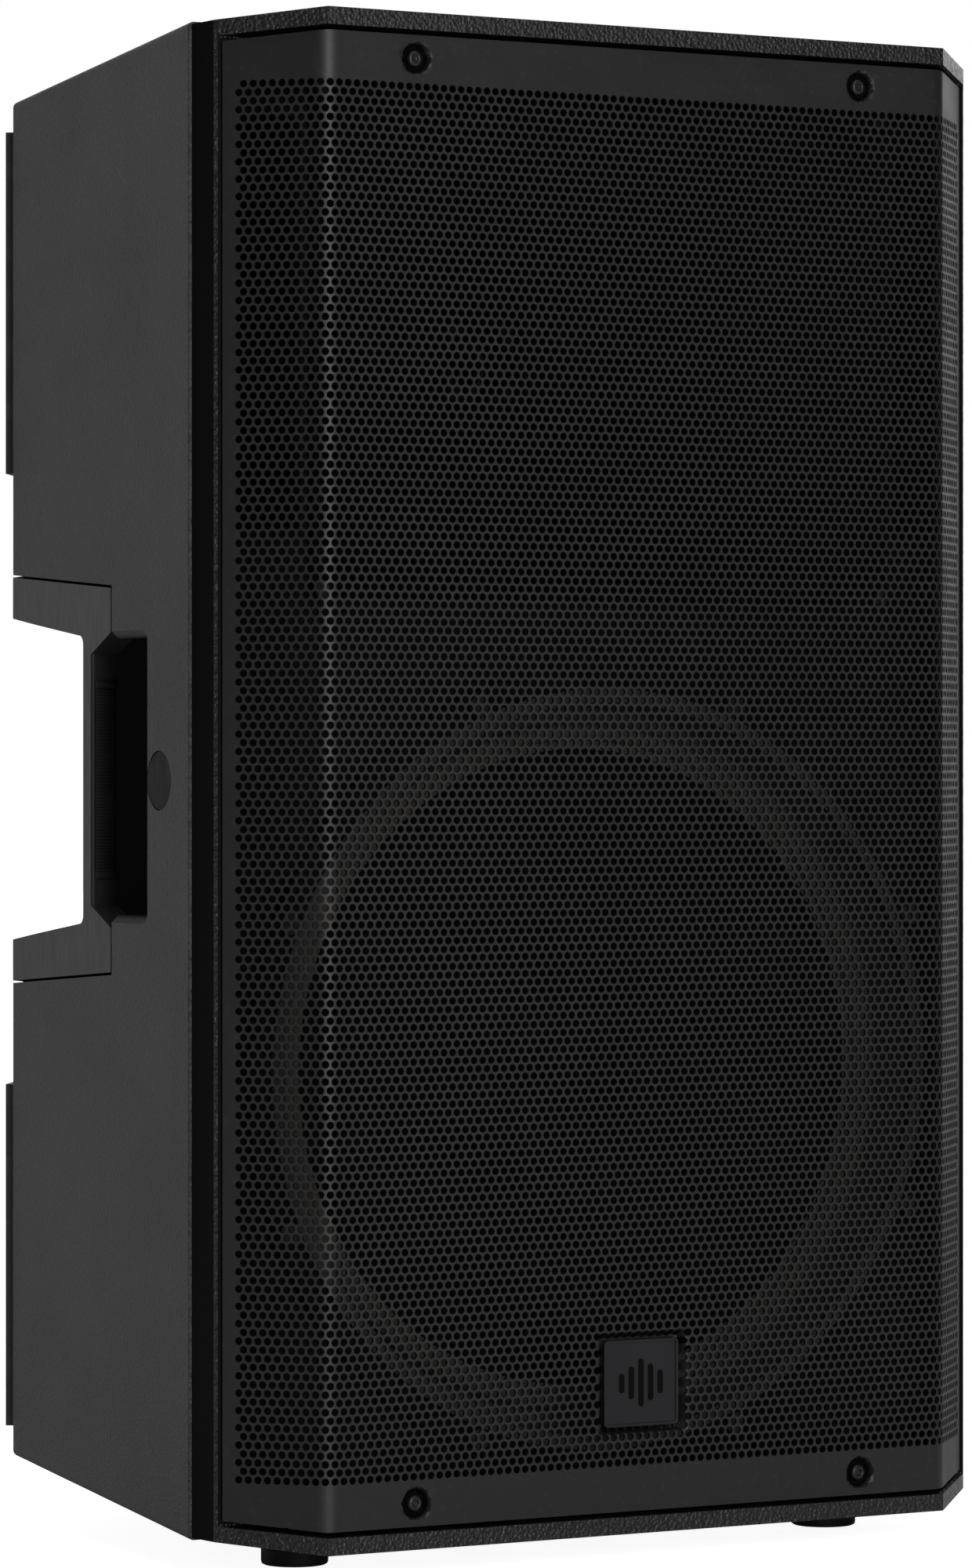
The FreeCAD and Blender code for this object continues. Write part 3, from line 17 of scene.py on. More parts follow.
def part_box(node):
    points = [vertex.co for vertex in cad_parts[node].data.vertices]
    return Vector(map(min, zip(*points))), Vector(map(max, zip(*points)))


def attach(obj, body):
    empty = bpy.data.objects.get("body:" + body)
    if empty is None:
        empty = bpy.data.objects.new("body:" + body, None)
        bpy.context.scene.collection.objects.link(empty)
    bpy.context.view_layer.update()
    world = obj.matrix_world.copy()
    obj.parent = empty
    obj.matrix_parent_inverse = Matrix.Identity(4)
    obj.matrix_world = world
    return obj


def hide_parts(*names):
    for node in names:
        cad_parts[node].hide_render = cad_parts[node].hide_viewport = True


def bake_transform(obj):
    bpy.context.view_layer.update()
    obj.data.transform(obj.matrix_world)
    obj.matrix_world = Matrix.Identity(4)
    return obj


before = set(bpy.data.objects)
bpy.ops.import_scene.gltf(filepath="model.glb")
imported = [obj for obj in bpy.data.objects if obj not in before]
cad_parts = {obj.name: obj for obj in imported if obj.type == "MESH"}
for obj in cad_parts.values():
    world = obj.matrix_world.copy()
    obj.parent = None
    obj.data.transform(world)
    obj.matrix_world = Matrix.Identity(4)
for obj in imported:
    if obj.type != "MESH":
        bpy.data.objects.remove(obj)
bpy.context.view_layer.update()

LOG = logging.getLogger("cabinet")
ROOT = "cabinet"
Colour = tuple[float, float, float]
Point = tuple[float, float, float]
Outline = list[tuple[float, float]]
MM = 0.001
# black of the painted shade in the handle recesses, the gap behind the front frame's edge and the grille
# dimples, and of the plain black inside the frame's mouth
SHADE_BLACK = (0.0022, 0.0021, 0.0022)

# places of the cabinet that the finishes' painted shade follows; rises are counted from its mid height
MID_HEIGHT = 359.5 * MM
SIDE_TAPER = 13.25 / 208.5
SIDE_REACH = 211.5 * MM - 144.0 * MM * SIDE_TAPER
RECESS_RISE = 100.0 * MM
LIP_BACK = -154.4 * MM
LIP_MOUTH_RISE = 334.4 * MM
LIP_MOUTH_REACH = 202.8 * MM
DIMPLE_X = 120.0 * MM
DIMPLE_RISE = 326.3 * MM


# ---------------------------------------------------------------- shader arithmetic


class Value:
    """A shader socket that takes part in arithmetic, adding Math nodes as it goes."""

    def __init__(self, tree: "Shader", socket: bpy.types.NodeSocket) -> None:
        """Wrap an output socket of a tree."""
        self.tree = tree
        self.socket = socket

    def _math(self, operation: str, first: Any, second: Any) -> "Value":
        """Add one Math node.

        Args:
            operation: The Math node's operation.
            first: Value or number for the first input.
            second: Value or number for the second input.

        Returns:
            The result as a new Value.
        """
        node = self.tree.node("ShaderNodeMath", {"operation": operation}, {0: first, 1: second})
        return Value(self.tree, node.outputs[0])

    def __add__(self, other: Any) -> "Value":
        """Sum."""
        return self._math("ADD", self, other)

    def __radd__(self, other: Any) -> "Value":
        """Sum with a number on the left."""
        return self._math("ADD", other, self)

    def __sub__(self, other: Any) -> "Value":
        """Difference."""
        return self._math("SUBTRACT", self, other)

    def __rsub__(self, other: Any) -> "Value":
        """Difference with a number on the left."""
        return self._math("SUBTRACT", other, self)

    def __mul__(self, other: Any) -> "Value":
        """Product."""
        return self._math("MULTIPLY", self, other)

    def __rmul__(self, other: Any) -> "Value":
        """Product with a number on the left."""
        return self._math("MULTIPLY", other, self)

    def __abs__(self) -> "Value":
        """Size without sign."""
        return self._math("ABSOLUTE", self, 0.0)

    def __and__(self, other: "Value") -> "Value":
        """Smaller of two masks."""
        return self._math("MINIMUM", self, other)

    def __or__(self, other: "Value") -> "Value":
        """Larger of two masks."""
        return self._math("MAXIMUM", self, other)

    def ramp(self, low: float, high: float) -> "Value":
        """Rise smoothly from 0 at low to 1 at high."""
        node = self.tree.node(
            "ShaderNodeMapRange",
            {"interpolation_type": "SMOOTHSTEP"},
            {"Value": self, "From Min": low, "From Max": high},
        )
        return Value(self.tree, node.outputs["Result"])


class Shader:
    """One material's node tree with its Principled shader."""

    def __init__(self, name: str) -> None:
        """Make an empty material of that name with a Principled shader and an output."""
        self.material = bpy.data.materials.new(name)
        self.material.use_nodes = True
        self.material.node_tree.nodes.clear()
        self.surface = self.node("ShaderNodeBsdfPrincipled", {}, {})
        self.output = self.node("ShaderNodeOutputMaterial", {}, {})
        self.link(self.surface.outputs[0], self.output.inputs["Surface"])
        self.place = self.node("ShaderNodeTexCoord", {}, {}).outputs["Object"]

    def link(self, source: bpy.types.NodeSocket, target: bpy.types.NodeSocket) -> None:
        """Join an output to an input."""
        self.material.node_tree.links.new(source, target)

    def feed(self, target: bpy.types.NodeSocket, value: Any) -> None:
        """Give an input a Value, a socket or a constant.

        Args:
            target: The input socket.
            value: What it takes.
        """
        if isinstance(value, Value):
            self.link(value.socket, target)
        elif isinstance(value, bpy.types.NodeSocket):
            self.link(value, target)
        elif target.type == "RGBA" and len(value) == 3:
            target.default_value = (*value, 1.0)
        else:
            target.default_value = value

    def node(self, kind: str, settings: dict[str, Any], sockets: dict[Any, Any]) -> bpy.types.Node:
        """Add any node.

        Args:
            kind: The node's type.
            settings: Its own settings, set first.
            sockets: Values or links for its inputs, by name or number.

        Returns:
            The node.
        """
        made = self.material.node_tree.nodes.new(kind)
        for name, setting in settings.items():
            setattr(made, name, setting)
        for key, value in sockets.items():
            self.feed(made.inputs[key], value)
        return made

    def where(self) -> tuple[Value, Value, Value]:
        """X, Y and Z of the place on the object."""
        parts = self.node("ShaderNodeSeparateXYZ", {}, {0: self.place})
        return tuple(Value(self, socket) for socket in parts.outputs)

    def noise(self, size: float, detail: float = 2.0, stretch: Point = (1.0, 1.0, 1.0)) -> Value:
        """Fractal noise.

        Args:
            size: Length of one feature in metres.
            detail: Octaves of finer noise.
            stretch: How many times longer features are along each axis.

        Returns:
            The noise, about 0.5.
        """
        scaled = self.node(
            "ShaderNodeMapping", {}, {"Vector": self.place, "Scale": tuple(1.0 / part for part in stretch)}
        )
        made = self.node(
            "ShaderNodeTexNoise", {}, {"Vector": scaled.outputs[0], "Scale": 1.0 / size, "Detail": detail}
        )
        return Value(self, made.outputs[0])

    def cells(self, size: float, smooth: float = 0.6) -> Value:
        """Rounded pebbles of one size in metres, as in moulded leather grain."""
        made = self.node(
            "ShaderNodeTexVoronoi",
            {"feature": "SMOOTH_F1"},
            {"Vector": self.place, "Scale": 1.0 / size, "Smoothness": smooth},
        )
        return Value(self, made.outputs["Distance"])

    def blend(self, factor: Value, low: Colour, high: Colour) -> bpy.types.NodeSocket:
        """Colour between two by a factor."""
        mix = self.node(
            "ShaderNodeMix", {"data_type": "RGBA"}, {0: factor, 6: (*low, 1.0), 7: (*high, 1.0)}
        )
        return mix.outputs[2]

    def paint_shade_black(self, factor: Value, roughness: float, glint: float) -> None:
        """Paint shade over the finish in plain black.

        Args:
            factor: Where, from 0 to 1.
            roughness: Its roughness.
            glint: Its specular level.
        """
        plain = self.node(
            "ShaderNodeBsdfPrincipled",
            {},
            {"Base Color": SHADE_BLACK, "Roughness": roughness, "Specular IOR Level": glint},
        )
        mix = self.node(
            "ShaderNodeMixShader", {}, {0: factor, 1: self.surface.outputs[0], 2: plain.outputs[0]}
        )
        self.link(mix.outputs[0], self.output.inputs["Surface"])

    def relief(self, height: Value, depth: float) -> None:
        """Bump the surface by a height whose full range is depth metres."""
        bump = self.node(
            "ShaderNodeBump", {}, {"Strength": 1.0, "Distance": depth, "Height": height}
        )
        self.feed(self.surface.inputs["Normal"], bump.outputs[0])

    def set(self, **sockets: Any) -> None:
        """Set inputs of the Principled shader, named with underscores for spaces."""
        for name, value in sockets.items():
            self.feed(self.surface.inputs[name.replace("_", " ")], value)


# ---------------------------------------------------------------- finishes


@dataclass(frozen=True)
class Finish:
    """What a surface is made of; each kind of finish builds its own material once."""

    name: str
    colour: Colour
    roughness: float = 0.5
    glint: float = 0.45

    def shade(self, factor: float, lift: float = 0.0) -> Colour:
        """The finish's colour made lighter or darker by a factor, and raised by a constant."""
        return tuple(min(1.0, part * factor + lift) for part in self.colour)

    def paint(self, shader: Shader) -> None:
        """Set the shader up; each kind of finish has its own."""
        shader.set(Base_Color=self.colour, Roughness=self.roughness)

    def material(self) -> bpy.types.Material:
        """The finish's material, made the first time that it is asked for."""
        known = bpy.data.materials.get(self.name)
        if known is None:
            shader = Shader(self.name)
            self.paint(shader)
            known = shader.material
        return known


@dataclass(frozen=True)
class GrainedPlastic(Finish):
    """Moulded plastic with a leather grain of pebbles and a little dust and handling wear."""

    grain: float = 1.1 * MM
    relief: float = 0.08 * MM
    mottle: float = 0.12

    def paint(self, shader: Shader) -> None:
        """Pebbled grain over a slight waviness, with the tone and gloss varying a little."""
        pebbles = shader.cells(self.grain)
        fine = shader.noise(self.grain * 0.5, 3.0)
        cloud = shader.noise(60 * MM, 3.0)
        wear = shader.noise(9 * MM, 5.0)
        speck = shader.noise(self.grain * 1.5, 2.0)
        tone = (cloud * 0.2 + wear * 0.2 + speck * 0.6).ramp(0.35, 0.65)
        shader.set(
            Base_Color=shader.blend(tone, self.shade(1.0 - self.mottle), self.shade(1.0 + self.mottle)),
            Roughness=self.roughness + (wear - 0.5) * 0.12 + (speck - 0.5) * 0.3,
            Specular_IOR_Level=self.glint,
        )
        shader.relief(pebbles * 0.7 + fine * 0.5, self.relief)


@dataclass(frozen=True)
class ShellPlastic(GrainedPlastic):
    """Grained plastic of the rear shell, with painted black shade inside the handle recesses."""

    def paint(self, shader: Shader) -> None:
        """Grain outside, painted black shade inside both recesses."""
        super().paint(shader)
        x, y, z = shader.where()
        # painted shade: the inside of both handle recesses, the same plastic lying in shadow, is turned black
        recess_shade_inward = (abs(x) + y * SIDE_TAPER).ramp(SIDE_REACH - 1.5 * MM, SIDE_REACH - 4.5 * MM)
        level = abs(z - MID_HEIGHT).ramp(RECESS_RISE + 1.0 * MM, RECESS_RISE)
        shader.paint_shade_black(recess_shade_inward & level, roughness=0.95, glint=0.04)


@dataclass(frozen=True)
class LipPlastic(GrainedPlastic):
    """Coarsely grained plastic of the front frame, with a smooth black strip behind it whose black is partly
    painted shade of the gap, and black inside it.
    """

    def paint(self, shader: Shader) -> None:
        """Grain on the frame's edge, a smooth black strip with painted shade behind the edge, and plain black
        inside its mouth.
        """
        super().paint(shader)
        x, y, z = shader.where()
        edge = 0.2 * MM
        # behind the edge: a smooth black strip, its black partly painted shade of the gap there; inside the
        # mouth: plain black
        behind = y.ramp(LIP_BACK, LIP_BACK + edge)
        above = abs(z - MID_HEIGHT).ramp(LIP_MOUTH_RISE, LIP_MOUTH_RISE + edge)
        beside = abs(x).ramp(LIP_MOUTH_REACH, LIP_MOUTH_REACH + edge)
        shader.paint_shade_black(behind | (1.0 - (above | beside)), roughness=0.5, glint=0.12)


@dataclass(frozen=True)
class SatinPlastic(Finish):
    """Nearly smooth moulded plastic with faint flow marks and hairline scuffs."""

    relief: float = 0.02 * MM
    flow: Point = (1.0, 1.0, 6.0)

    def paint(self, shader: Shader) -> None:
        """Fine eroded texture with scuffs drawn out along the flow."""
        erosion = shader.noise(0.35 * MM, 2.0)
        scuffs = shader.noise(2.5 * MM, 4.0, self.flow)
        tone = shader.noise(35 * MM, 2.0).ramp(0.35, 0.65)
        shader.set(
            Base_Color=shader.blend(tone, self.shade(0.9), self.shade(1.1)),
            Roughness=self.roughness + (scuffs - 0.5) * 0.22,
            Specular_IOR_Level=self.glint,
        )
        shader.relief(erosion * 0.7 + scuffs * 0.6, self.relief)


@dataclass(frozen=True)
class PowderCoat(Finish):
    """Powder-coated metal: fine orange peel, with brighter rubbed spots."""

    peel: float = 0.5 * MM
    relief: float = 0.025 * MM

    def paint(self, shader: Shader) -> None:
        """Orange peel with a little variation in gloss."""
        peel = shader.noise(self.peel, 2.0)
        drift = shader.noise(25 * MM, 3.0)
        dust = shader.noise(3 * MM, 5.0).ramp(0.55, 0.75)
        shader.set(
            Base_Color=shader.blend(dust, self.colour, self.shade(1.5, 0.004)),
            Roughness=self.roughness + (drift - 0.5) * 0.18,
            Specular_IOR_Level=self.glint,
        )
        shader.relief(peel, self.relief)


@dataclass(frozen=True)
class GrilleCoat(PowderCoat):
    """Powder coat of the grille, with painted shade down in the dimples round its screws."""

    dimple_shade_start: float = 7.2 * MM
    dimple_shade_full: float = 6.2 * MM

    def paint(self, shader: Shader) -> None:
        """Powder coat outside, painted shade on the walls inside the four dimples."""
        super().paint(shader)
        x, _, z = shader.where()
        across = abs(x) - DIMPLE_X
        along = abs(z - MID_HEIGHT) - DIMPLE_RISE
        away = across * across + along * along
        # painted shade: each dimple is black inside its rim, fading out over its last millimetre
        inside = away.ramp(self.dimple_shade_start ** 2, self.dimple_shade_full ** 2)
        shader.paint_shade_black(inside, roughness=0.7, glint=0.06)


@dataclass(frozen=True)
class BareMetal(Finish):
    """Turned, cast or plated metal with directional fine marks."""

    marks: Point = (1.0, 20.0, 1.0)
    relief: float = 0.01 * MM

    def paint(self, shader: Shader) -> None:
        """Metal whose roughness and tone follow its tool marks."""
        marks = shader.noise(0.5 * MM, 3.0, self.marks)
        stain = shader.noise(12 * MM, 4.0)
        shader.set(
            Base_Color=shader.blend(stain.ramp(0.4, 0.7), self.colour, self.shade(0.75)),
            Metallic=1.0,
            Roughness=self.roughness + (marks - 0.5) * 0.2 + (stain - 0.5) * 0.15,
        )
        shader.relief(marks, self.relief)


@dataclass(frozen=True)
class SoftRubber(Finish):
    """Matt rubber with a bloom and a velvety fine texture."""

    def paint(self, shader: Shader) -> None:
        """Dull surface with pale bloom in patches."""
        bloom = shader.noise(14 * MM, 5.0)
        skin = shader.noise(0.3 * MM, 2.0)
        shader.set(
            Base_Color=shader.blend(bloom.ramp(0.45, 0.75), self.colour, self.shade(1.6, 0.003)),
            Roughness=self.roughness + (bloom - 0.5) * 0.15,
            Specular_IOR_Level=self.glint,
        )
        shader.relief(skin, 0.03 * MM)


@dataclass(frozen=True)
class FibreSurface(Finish):
    """Paper cone, treated cloth or fleece: a felt of crossing fibres."""

    fibre: float = 0.8 * MM
    relief: float = 0.12 * MM

    def paint(self, shader: Shader) -> None:
        """Two crossed directions of fibres with mottled tone."""
        across = shader.noise(self.fibre, 4.0, (6.0, 1.0, 1.0))
        along = shader.noise(self.fibre, 4.0, (1.0, 1.0, 6.0))
        pulp = shader.noise(5 * MM, 4.0)
        shader.set(
            Base_Color=shader.blend(pulp.ramp(0.3, 0.7), self.colour, self.shade(1.5)),
            Roughness=self.roughness + (across - 0.5) * 0.2,
            Specular_IOR_Level=self.glint,
        )
        shader.relief(across * 0.5 + along * 0.5, self.relief)


@dataclass(frozen=True)
class LitLens(Finish):
    """Indicator lens with a soft glow."""

    glow: float = 0.6

    def paint(self, shader: Shader) -> None:
        """Coloured lens, slightly frosted."""
        frost = shader.noise(0.4 * MM, 2.0)
        shader.set(
            Base_Color=self.colour,
            Roughness=self.roughness + (frost - 0.5) * 0.2,
            Emission_Color=self.colour,
            Emission_Strength=self.glow,
        )
        shader.relief(frost, 0.02 * MM)


SHELL = ShellPlastic(
    "shell_grain", (0.035, 0.033, 0.036), 0.52, 0.42, grain=1.1 * MM, relief=0.6 * MM, mottle=0.6
)
FRONT = LipPlastic("front_grain", (0.0055, 0.005, 0.0053), 0.34, 0.6, grain=1.7 * MM, relief=0.9 * MM)
SMOOTH_SHELL = GrainedPlastic("socket_grain", (0.02, 0.019, 0.021), 0.50)
HANDLE = SatinPlastic("handle_satin", (0.023, 0.0215, 0.024), 0.46, 0.32)
PLUG = SatinPlastic("plug_satin", (0.006, 0.0055, 0.0065), 0.5, 0.1)
MOULDED = SatinPlastic("inner_moulding", (0.0022, 0.0022, 0.0022), 0.8, 0.06)
GRILLE = GrilleCoat("grille_coat", (0.0105, 0.0097, 0.0105), 0.47, 0.5)
BADGE = SatinPlastic("badge_satin", (0.0135, 0.0132, 0.016), 0.34, 0.4)
BADGE_INLAY = SatinPlastic("badge_inlay", (0.0015, 0.0015, 0.0015), 0.6, 0.1)
BASKET = PowderCoat("basket_coat", (0.0025, 0.0025, 0.0025), 0.6, 0.1)
BLACK_STEEL = PowderCoat("black_steel", (0.012, 0.012, 0.013), 0.32, peel=0.3 * MM, relief=0.008 * MM)
PANEL = PowderCoat("panel_coat", (0.017, 0.017, 0.019), 0.45, peel=0.4 * MM)
PANEL_MARK = SatinPlastic("panel_mark", (0.55, 0.55, 0.56), 0.5)
SINK = BareMetal("sink_anodised", (0.045, 0.045, 0.05), 0.38, marks=(1.0, 1.0, 30.0))
ZINC = BareMetal("zinc_steel", (0.62, 0.6, 0.52), 0.32)
BRASS = BareMetal("turned_brass", (0.7, 0.52, 0.2), 0.3)
NICKEL = BareMetal("nickel_plate", (0.72, 0.7, 0.66), 0.2)
GOLD = BareMetal("gold_flash", (0.85, 0.62, 0.28), 0.22)
COPPER = BareMetal("coil_copper", (0.72, 0.32, 0.15), 0.35, marks=(1.0, 0.1, 1.0), relief=0.05 * MM)
DOME = SatinPlastic("dome_film", (0.004, 0.004, 0.004), 0.5, 0.1)
FERRITE = GrainedPlastic("sintered_ferrite", (0.03, 0.03, 0.031), 0.7, grain=0.6 * MM)
RUBBER = SoftRubber("black_rubber", (0.009, 0.009, 0.009), 0.62, 0.3)
RAIL = SoftRubber("rail_rubber", (0.028, 0.027, 0.029), 0.5, 0.4)
FOAM = SoftRubber("gasket_foam", (0.003, 0.003, 0.003), 0.9, 0.08)
PULP = FibreSurface("cone_pulp", (0.003, 0.003, 0.003), 0.85, 0.08)
CLOTH = FibreSurface("treated_cloth", (0.0024, 0.0024, 0.0024), 0.85, 0.06, fibre=0.4 * MM)
FLEECE = FibreSurface("polyester_fleece", (0.45, 0.45, 0.43), 0.9, fibre=2.0 * MM, relief=0.8 * MM)
CONNECTOR = SatinPlastic("connector_nylon", (0.013, 0.013, 0.013), 0.35)
KEYCAP = SatinPlastic("key_cap", (0.16, 0.16, 0.17), 0.35)
KNOB = SatinPlastic("knob_soft_touch", (0.014, 0.014, 0.014), 0.55)
SWITCH = SatinPlastic("switch_case", (0.05, 0.05, 0.06), 0.5)
BOARD = PowderCoat("solder_mask", (0.01, 0.07, 0.03), 0.3, peel=1.5 * MM)
TAPE = SatinPlastic("yellow_tape", (0.5, 0.36, 0.06), 0.45)
SLEEVE = SatinPlastic("capacitor_sleeve", (0.02, 0.02, 0.04), 0.3)
CHIP = SatinPlastic("epoxy_package", (0.015, 0.015, 0.015), 0.6)
LENS = LitLens("green_lens", (0.05, 0.5, 0.12), 0.25)


# ---------------------------------------------------------------- mesh helpers


class Axis(Enum):
    """Direction that a turned piece is turned about."""

    FORWARD = Matrix.Rotation(math.radians(90), 3, "X")
    UP = Matrix.Identity(3)


@dataclass
class Form:
    """Vertices and faces that a piece is made of."""

    points: list[Point] = field(default_factory=list)
    faces: list[Sequence[int]] = field(default_factory=list)

    def add(self, points: Iterable[Point], faces: Iterable[Sequence[int]]) -> None:
        """Append a part, whose faces count from its own first point."""
        start = len(self.points)
        self.points.extend(tuple(point) for point in points)
        self.faces.extend([start + index for index in face] for face in faces)

    def turned(self, profile: Outline, centre: Point, axis: Axis, sides: int) -> None:
        """Add a closed form turned from radii and lengths along an axis.

        Args:
            profile: Radius and length of each point; a radius of 0 closes an end.
            centre: Where length 0 of the axis is.
            axis: Direction of the axis.
            sides: Facets round the axis.
        """
        points: list[Vector] = []
        rings: list[list[int]] = []
        for radius, length in profile:
            if radius == 0.0:
                rings.append([len(points)] * sides)
                points.append(Vector((0, 0, length)))
                continue
            rings.append(list(range(len(points), len(points) + sides)))
            for step in range(sides):
                angle = 2 * math.pi * step / sides
                spot = (radius * math.cos(angle), radius * math.sin(angle), length)
                points.append(Vector(spot))
        faces = []
        for lower, upper in zip(rings, rings[1:]):
            for step in range(sides):
                after = (step + 1) % sides
                corner = [lower[step], lower[after], upper[after], upper[step]]
                unique = list(dict.fromkeys(corner))
                if len(unique) > 2:
                    faces.append(unique)
        self.add([tuple(Vector(centre) + axis.value @ point) for point in points], faces)

    def lathed(self, profile: Outline, seat: Point, sides: int) -> None:
        """Add a closed form turned about an axis that points to the cabinet's rear.

        Args:
            profile: Radius of each point and its length behind the seat.
            seat: Where length 0 is.
            sides: Facets round the axis.
        """
        backwards = [(radius, -length) for radius, length in profile]
        self.turned(backwards, seat, Axis.FORWARD, sides)

    def prism(self, outline: Outline, low: float, high: float, lift: Callable) -> None:
        """Add an upright block on an outline.

        Args:
            outline: Counter-clockwise points.
            low: Height of its bottom.
            high: Height of its top.
            lift: Function of the two outline values and the height that gives the place in the frame.
        """
        count = len(outline)
        points = [lift(a, b, low) for a, b in outline] + [lift(a, b, high) for a, b in outline]
        sides = [[i, (i + 1) % count, count + (i + 1) % count, count + i] for i in range(count)]
        caps = [list(reversed(range(count))), list(range(count, 2 * count))]
        self.add(points, sides + caps)


def rounded_outline(half_a: float, half_b: float, radius: float, steps: int = 5) -> Outline:
    """Rectangle with round corners.

    Args:
        half_a: Half its size along the first direction.
        half_b: Half its size along the second direction.
        radius: Corner radius.
        steps: Segments in each corner.

    Returns:
        Its points, counter-clockwise.
    """
    points = []
    for corner, (sign_a, sign_b) in enumerate(((1, 1), (-1, 1), (-1, -1), (1, -1))):
        for step in range(steps + 1):
            angle = math.pi / 2 * (corner + step / steps)
            points.append(
                (
                    sign_a * (half_a - radius) + radius * math.cos(angle),
                    sign_b * (half_b - radius) + radius * math.sin(angle),
                )
            )
    return points


def smooth_shade(mesh: bpy.types.Mesh, angle: float) -> None:
    """Shade smooth, keeping edges sharper than an angle in degrees."""
    mesh.shade_smooth()
    mesh.set_sharp_from_angle(angle=math.radians(angle))


def soften(piece: bpy.types.Object, width: float, segments: int = 2) -> None:
    """Round a piece's sharp edges by a width in metres."""
    bevel = piece.modifiers.new("soft_edges", "BEVEL")
    bevel.width = width
    bevel.segments = segments
    bevel.limit_method = "ANGLE"
    bevel.angle_limit = math.radians(35)
    bevel.harden_normals = True


def into_scene(name: str, mesh: bpy.types.Mesh) -> bpy.types.Object:
    """Put a mesh in the scene as an object of that name."""
    made = bpy.data.objects.new(name, mesh)
    bpy.context.scene.collection.objects.link(made)
    return made


def mesh_object(name: str, form: Form, finish: Finish, sharp: float) -> bpy.types.Object:
    """Put a form in the scene, with its finish, smooth up to an edge angle in degrees."""
    mesh = bpy.data.meshes.new(name)
    mesh.from_pydata(form.points, [], form.faces)
    mesh.validate()
    smooth_shade(mesh, sharp)
    mesh.materials.append(finish.material())
    LOG.info("made %s with %d faces", name, len(form.faces))
    return into_scene(name, mesh)


def new_piece(
    name: str,
    form: Form,
    finish: Finish,
    body: str = ROOT,
    nodes: Sequence[str] = (),
    bevel: float = 0.0,
) -> bpy.types.Object:
    """Make a piece of the object and hang it on its body.

    Args:
        name: The piece's name.
        form: Its vertices and faces.
        finish: Its finish.
        body: The CAD body it rides on.
        nodes: CAD nodes that it stands for.
        bevel: Width that its edges are rounded by, or 0.

    Returns:
        The piece.
    """
    piece = mesh_object(name, form, finish, 35)
    if bevel:
        soften(piece, bevel)
    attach(piece, body)
    if nodes:
        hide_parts(*nodes)
    return piece


def dress(finish: Finish, *nodes: str, bevel: float = 0.0) -> None:
    """Give CAD nodes a finish.

    Args:
        finish: The finish.
        nodes: Names of the nodes.
        bevel: Width that their edges are rounded by, or 0.
    """
    for name in nodes:
        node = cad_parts[name]
        if not node.material_slots:
            node.data.materials.append(finish.material())
        for held in node.material_slots:
            held.material = finish.material()
        if bevel:
            soften(node, bevel, 1)
        LOG.info("dressed %s in %s", name, finish.name)


def centre(node: str) -> Vector:
    """Middle of a CAD node's box."""
    low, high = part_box(node)
    return (low + high) / 2


# ---------------------------------------------------------------- sub-assemblies


@dataclass
class Enclosure:
    """Moulded rear shell with its plugs, rails, feet and sockets."""

    foot_crown: float = 1.2 * MM
    foot_radius: float = 15.5 * MM
    foot_bore: float = 4.8 * MM
    tread_start: float = 6.6 * MM
    tread_pitch: float = 1.9 * MM
    rear_foot_x: float = 98 * MM

    def build(self) -> None:
        """Dress the shell and what is fixed to it, and mould the feet."""
        dress(SHELL, "cabinet_shell")
        dress(PLUG, "side_plugs", bevel=0.5 * MM)
        dress(RAIL, "left_corner_rails", "right_corner_rails", bevel=1.2 * MM)
        dress(SMOOTH_SHELL, "pole_socket")
        dress(BRASS, "rigging_inserts")
        dress(BLACK_STEEL, "foot_screws")
        dress(FLEECE, "acoustic_fleece")
        self.mould_feet()

    def mould_feet(self) -> None:
        """Rubber feet with a tread of rings round a recessed screw."""
        low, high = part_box("rubber_feet")
        radius, bore = self.foot_radius, self.foot_bore
        tall = high.z - low.z
        profile = [(bore, tall), (bore, 1.2 * MM), (bore + 1.0 * MM, 0.0)]
        for ring in range(4):
            start = self.tread_start + ring * self.tread_pitch
            profile += [(start, 0.0), (start + 0.4 * MM, 0.5 * MM), (start + 0.8 * MM, 0.0)]
        profile += [(radius - self.foot_crown, 0.0), (radius - 0.3 * MM, 0.5 * MM)]
        profile += [(radius, 1.6 * MM), (radius, tall - 0.6 * MM)]
        profile += [(radius - 0.6 * MM, tall), (bore, tall)]
        form = Form()
        for y, reach in ((low.y + radius, high.x - radius), (high.y - radius, self.rear_foot_x)):
            for x in (-reach, reach):
                form.turned(profile, (x, y, low.z), Axis.UP, 48)
        new_piece("moulded_feet", form, RUBBER, nodes=("rubber_feet",))


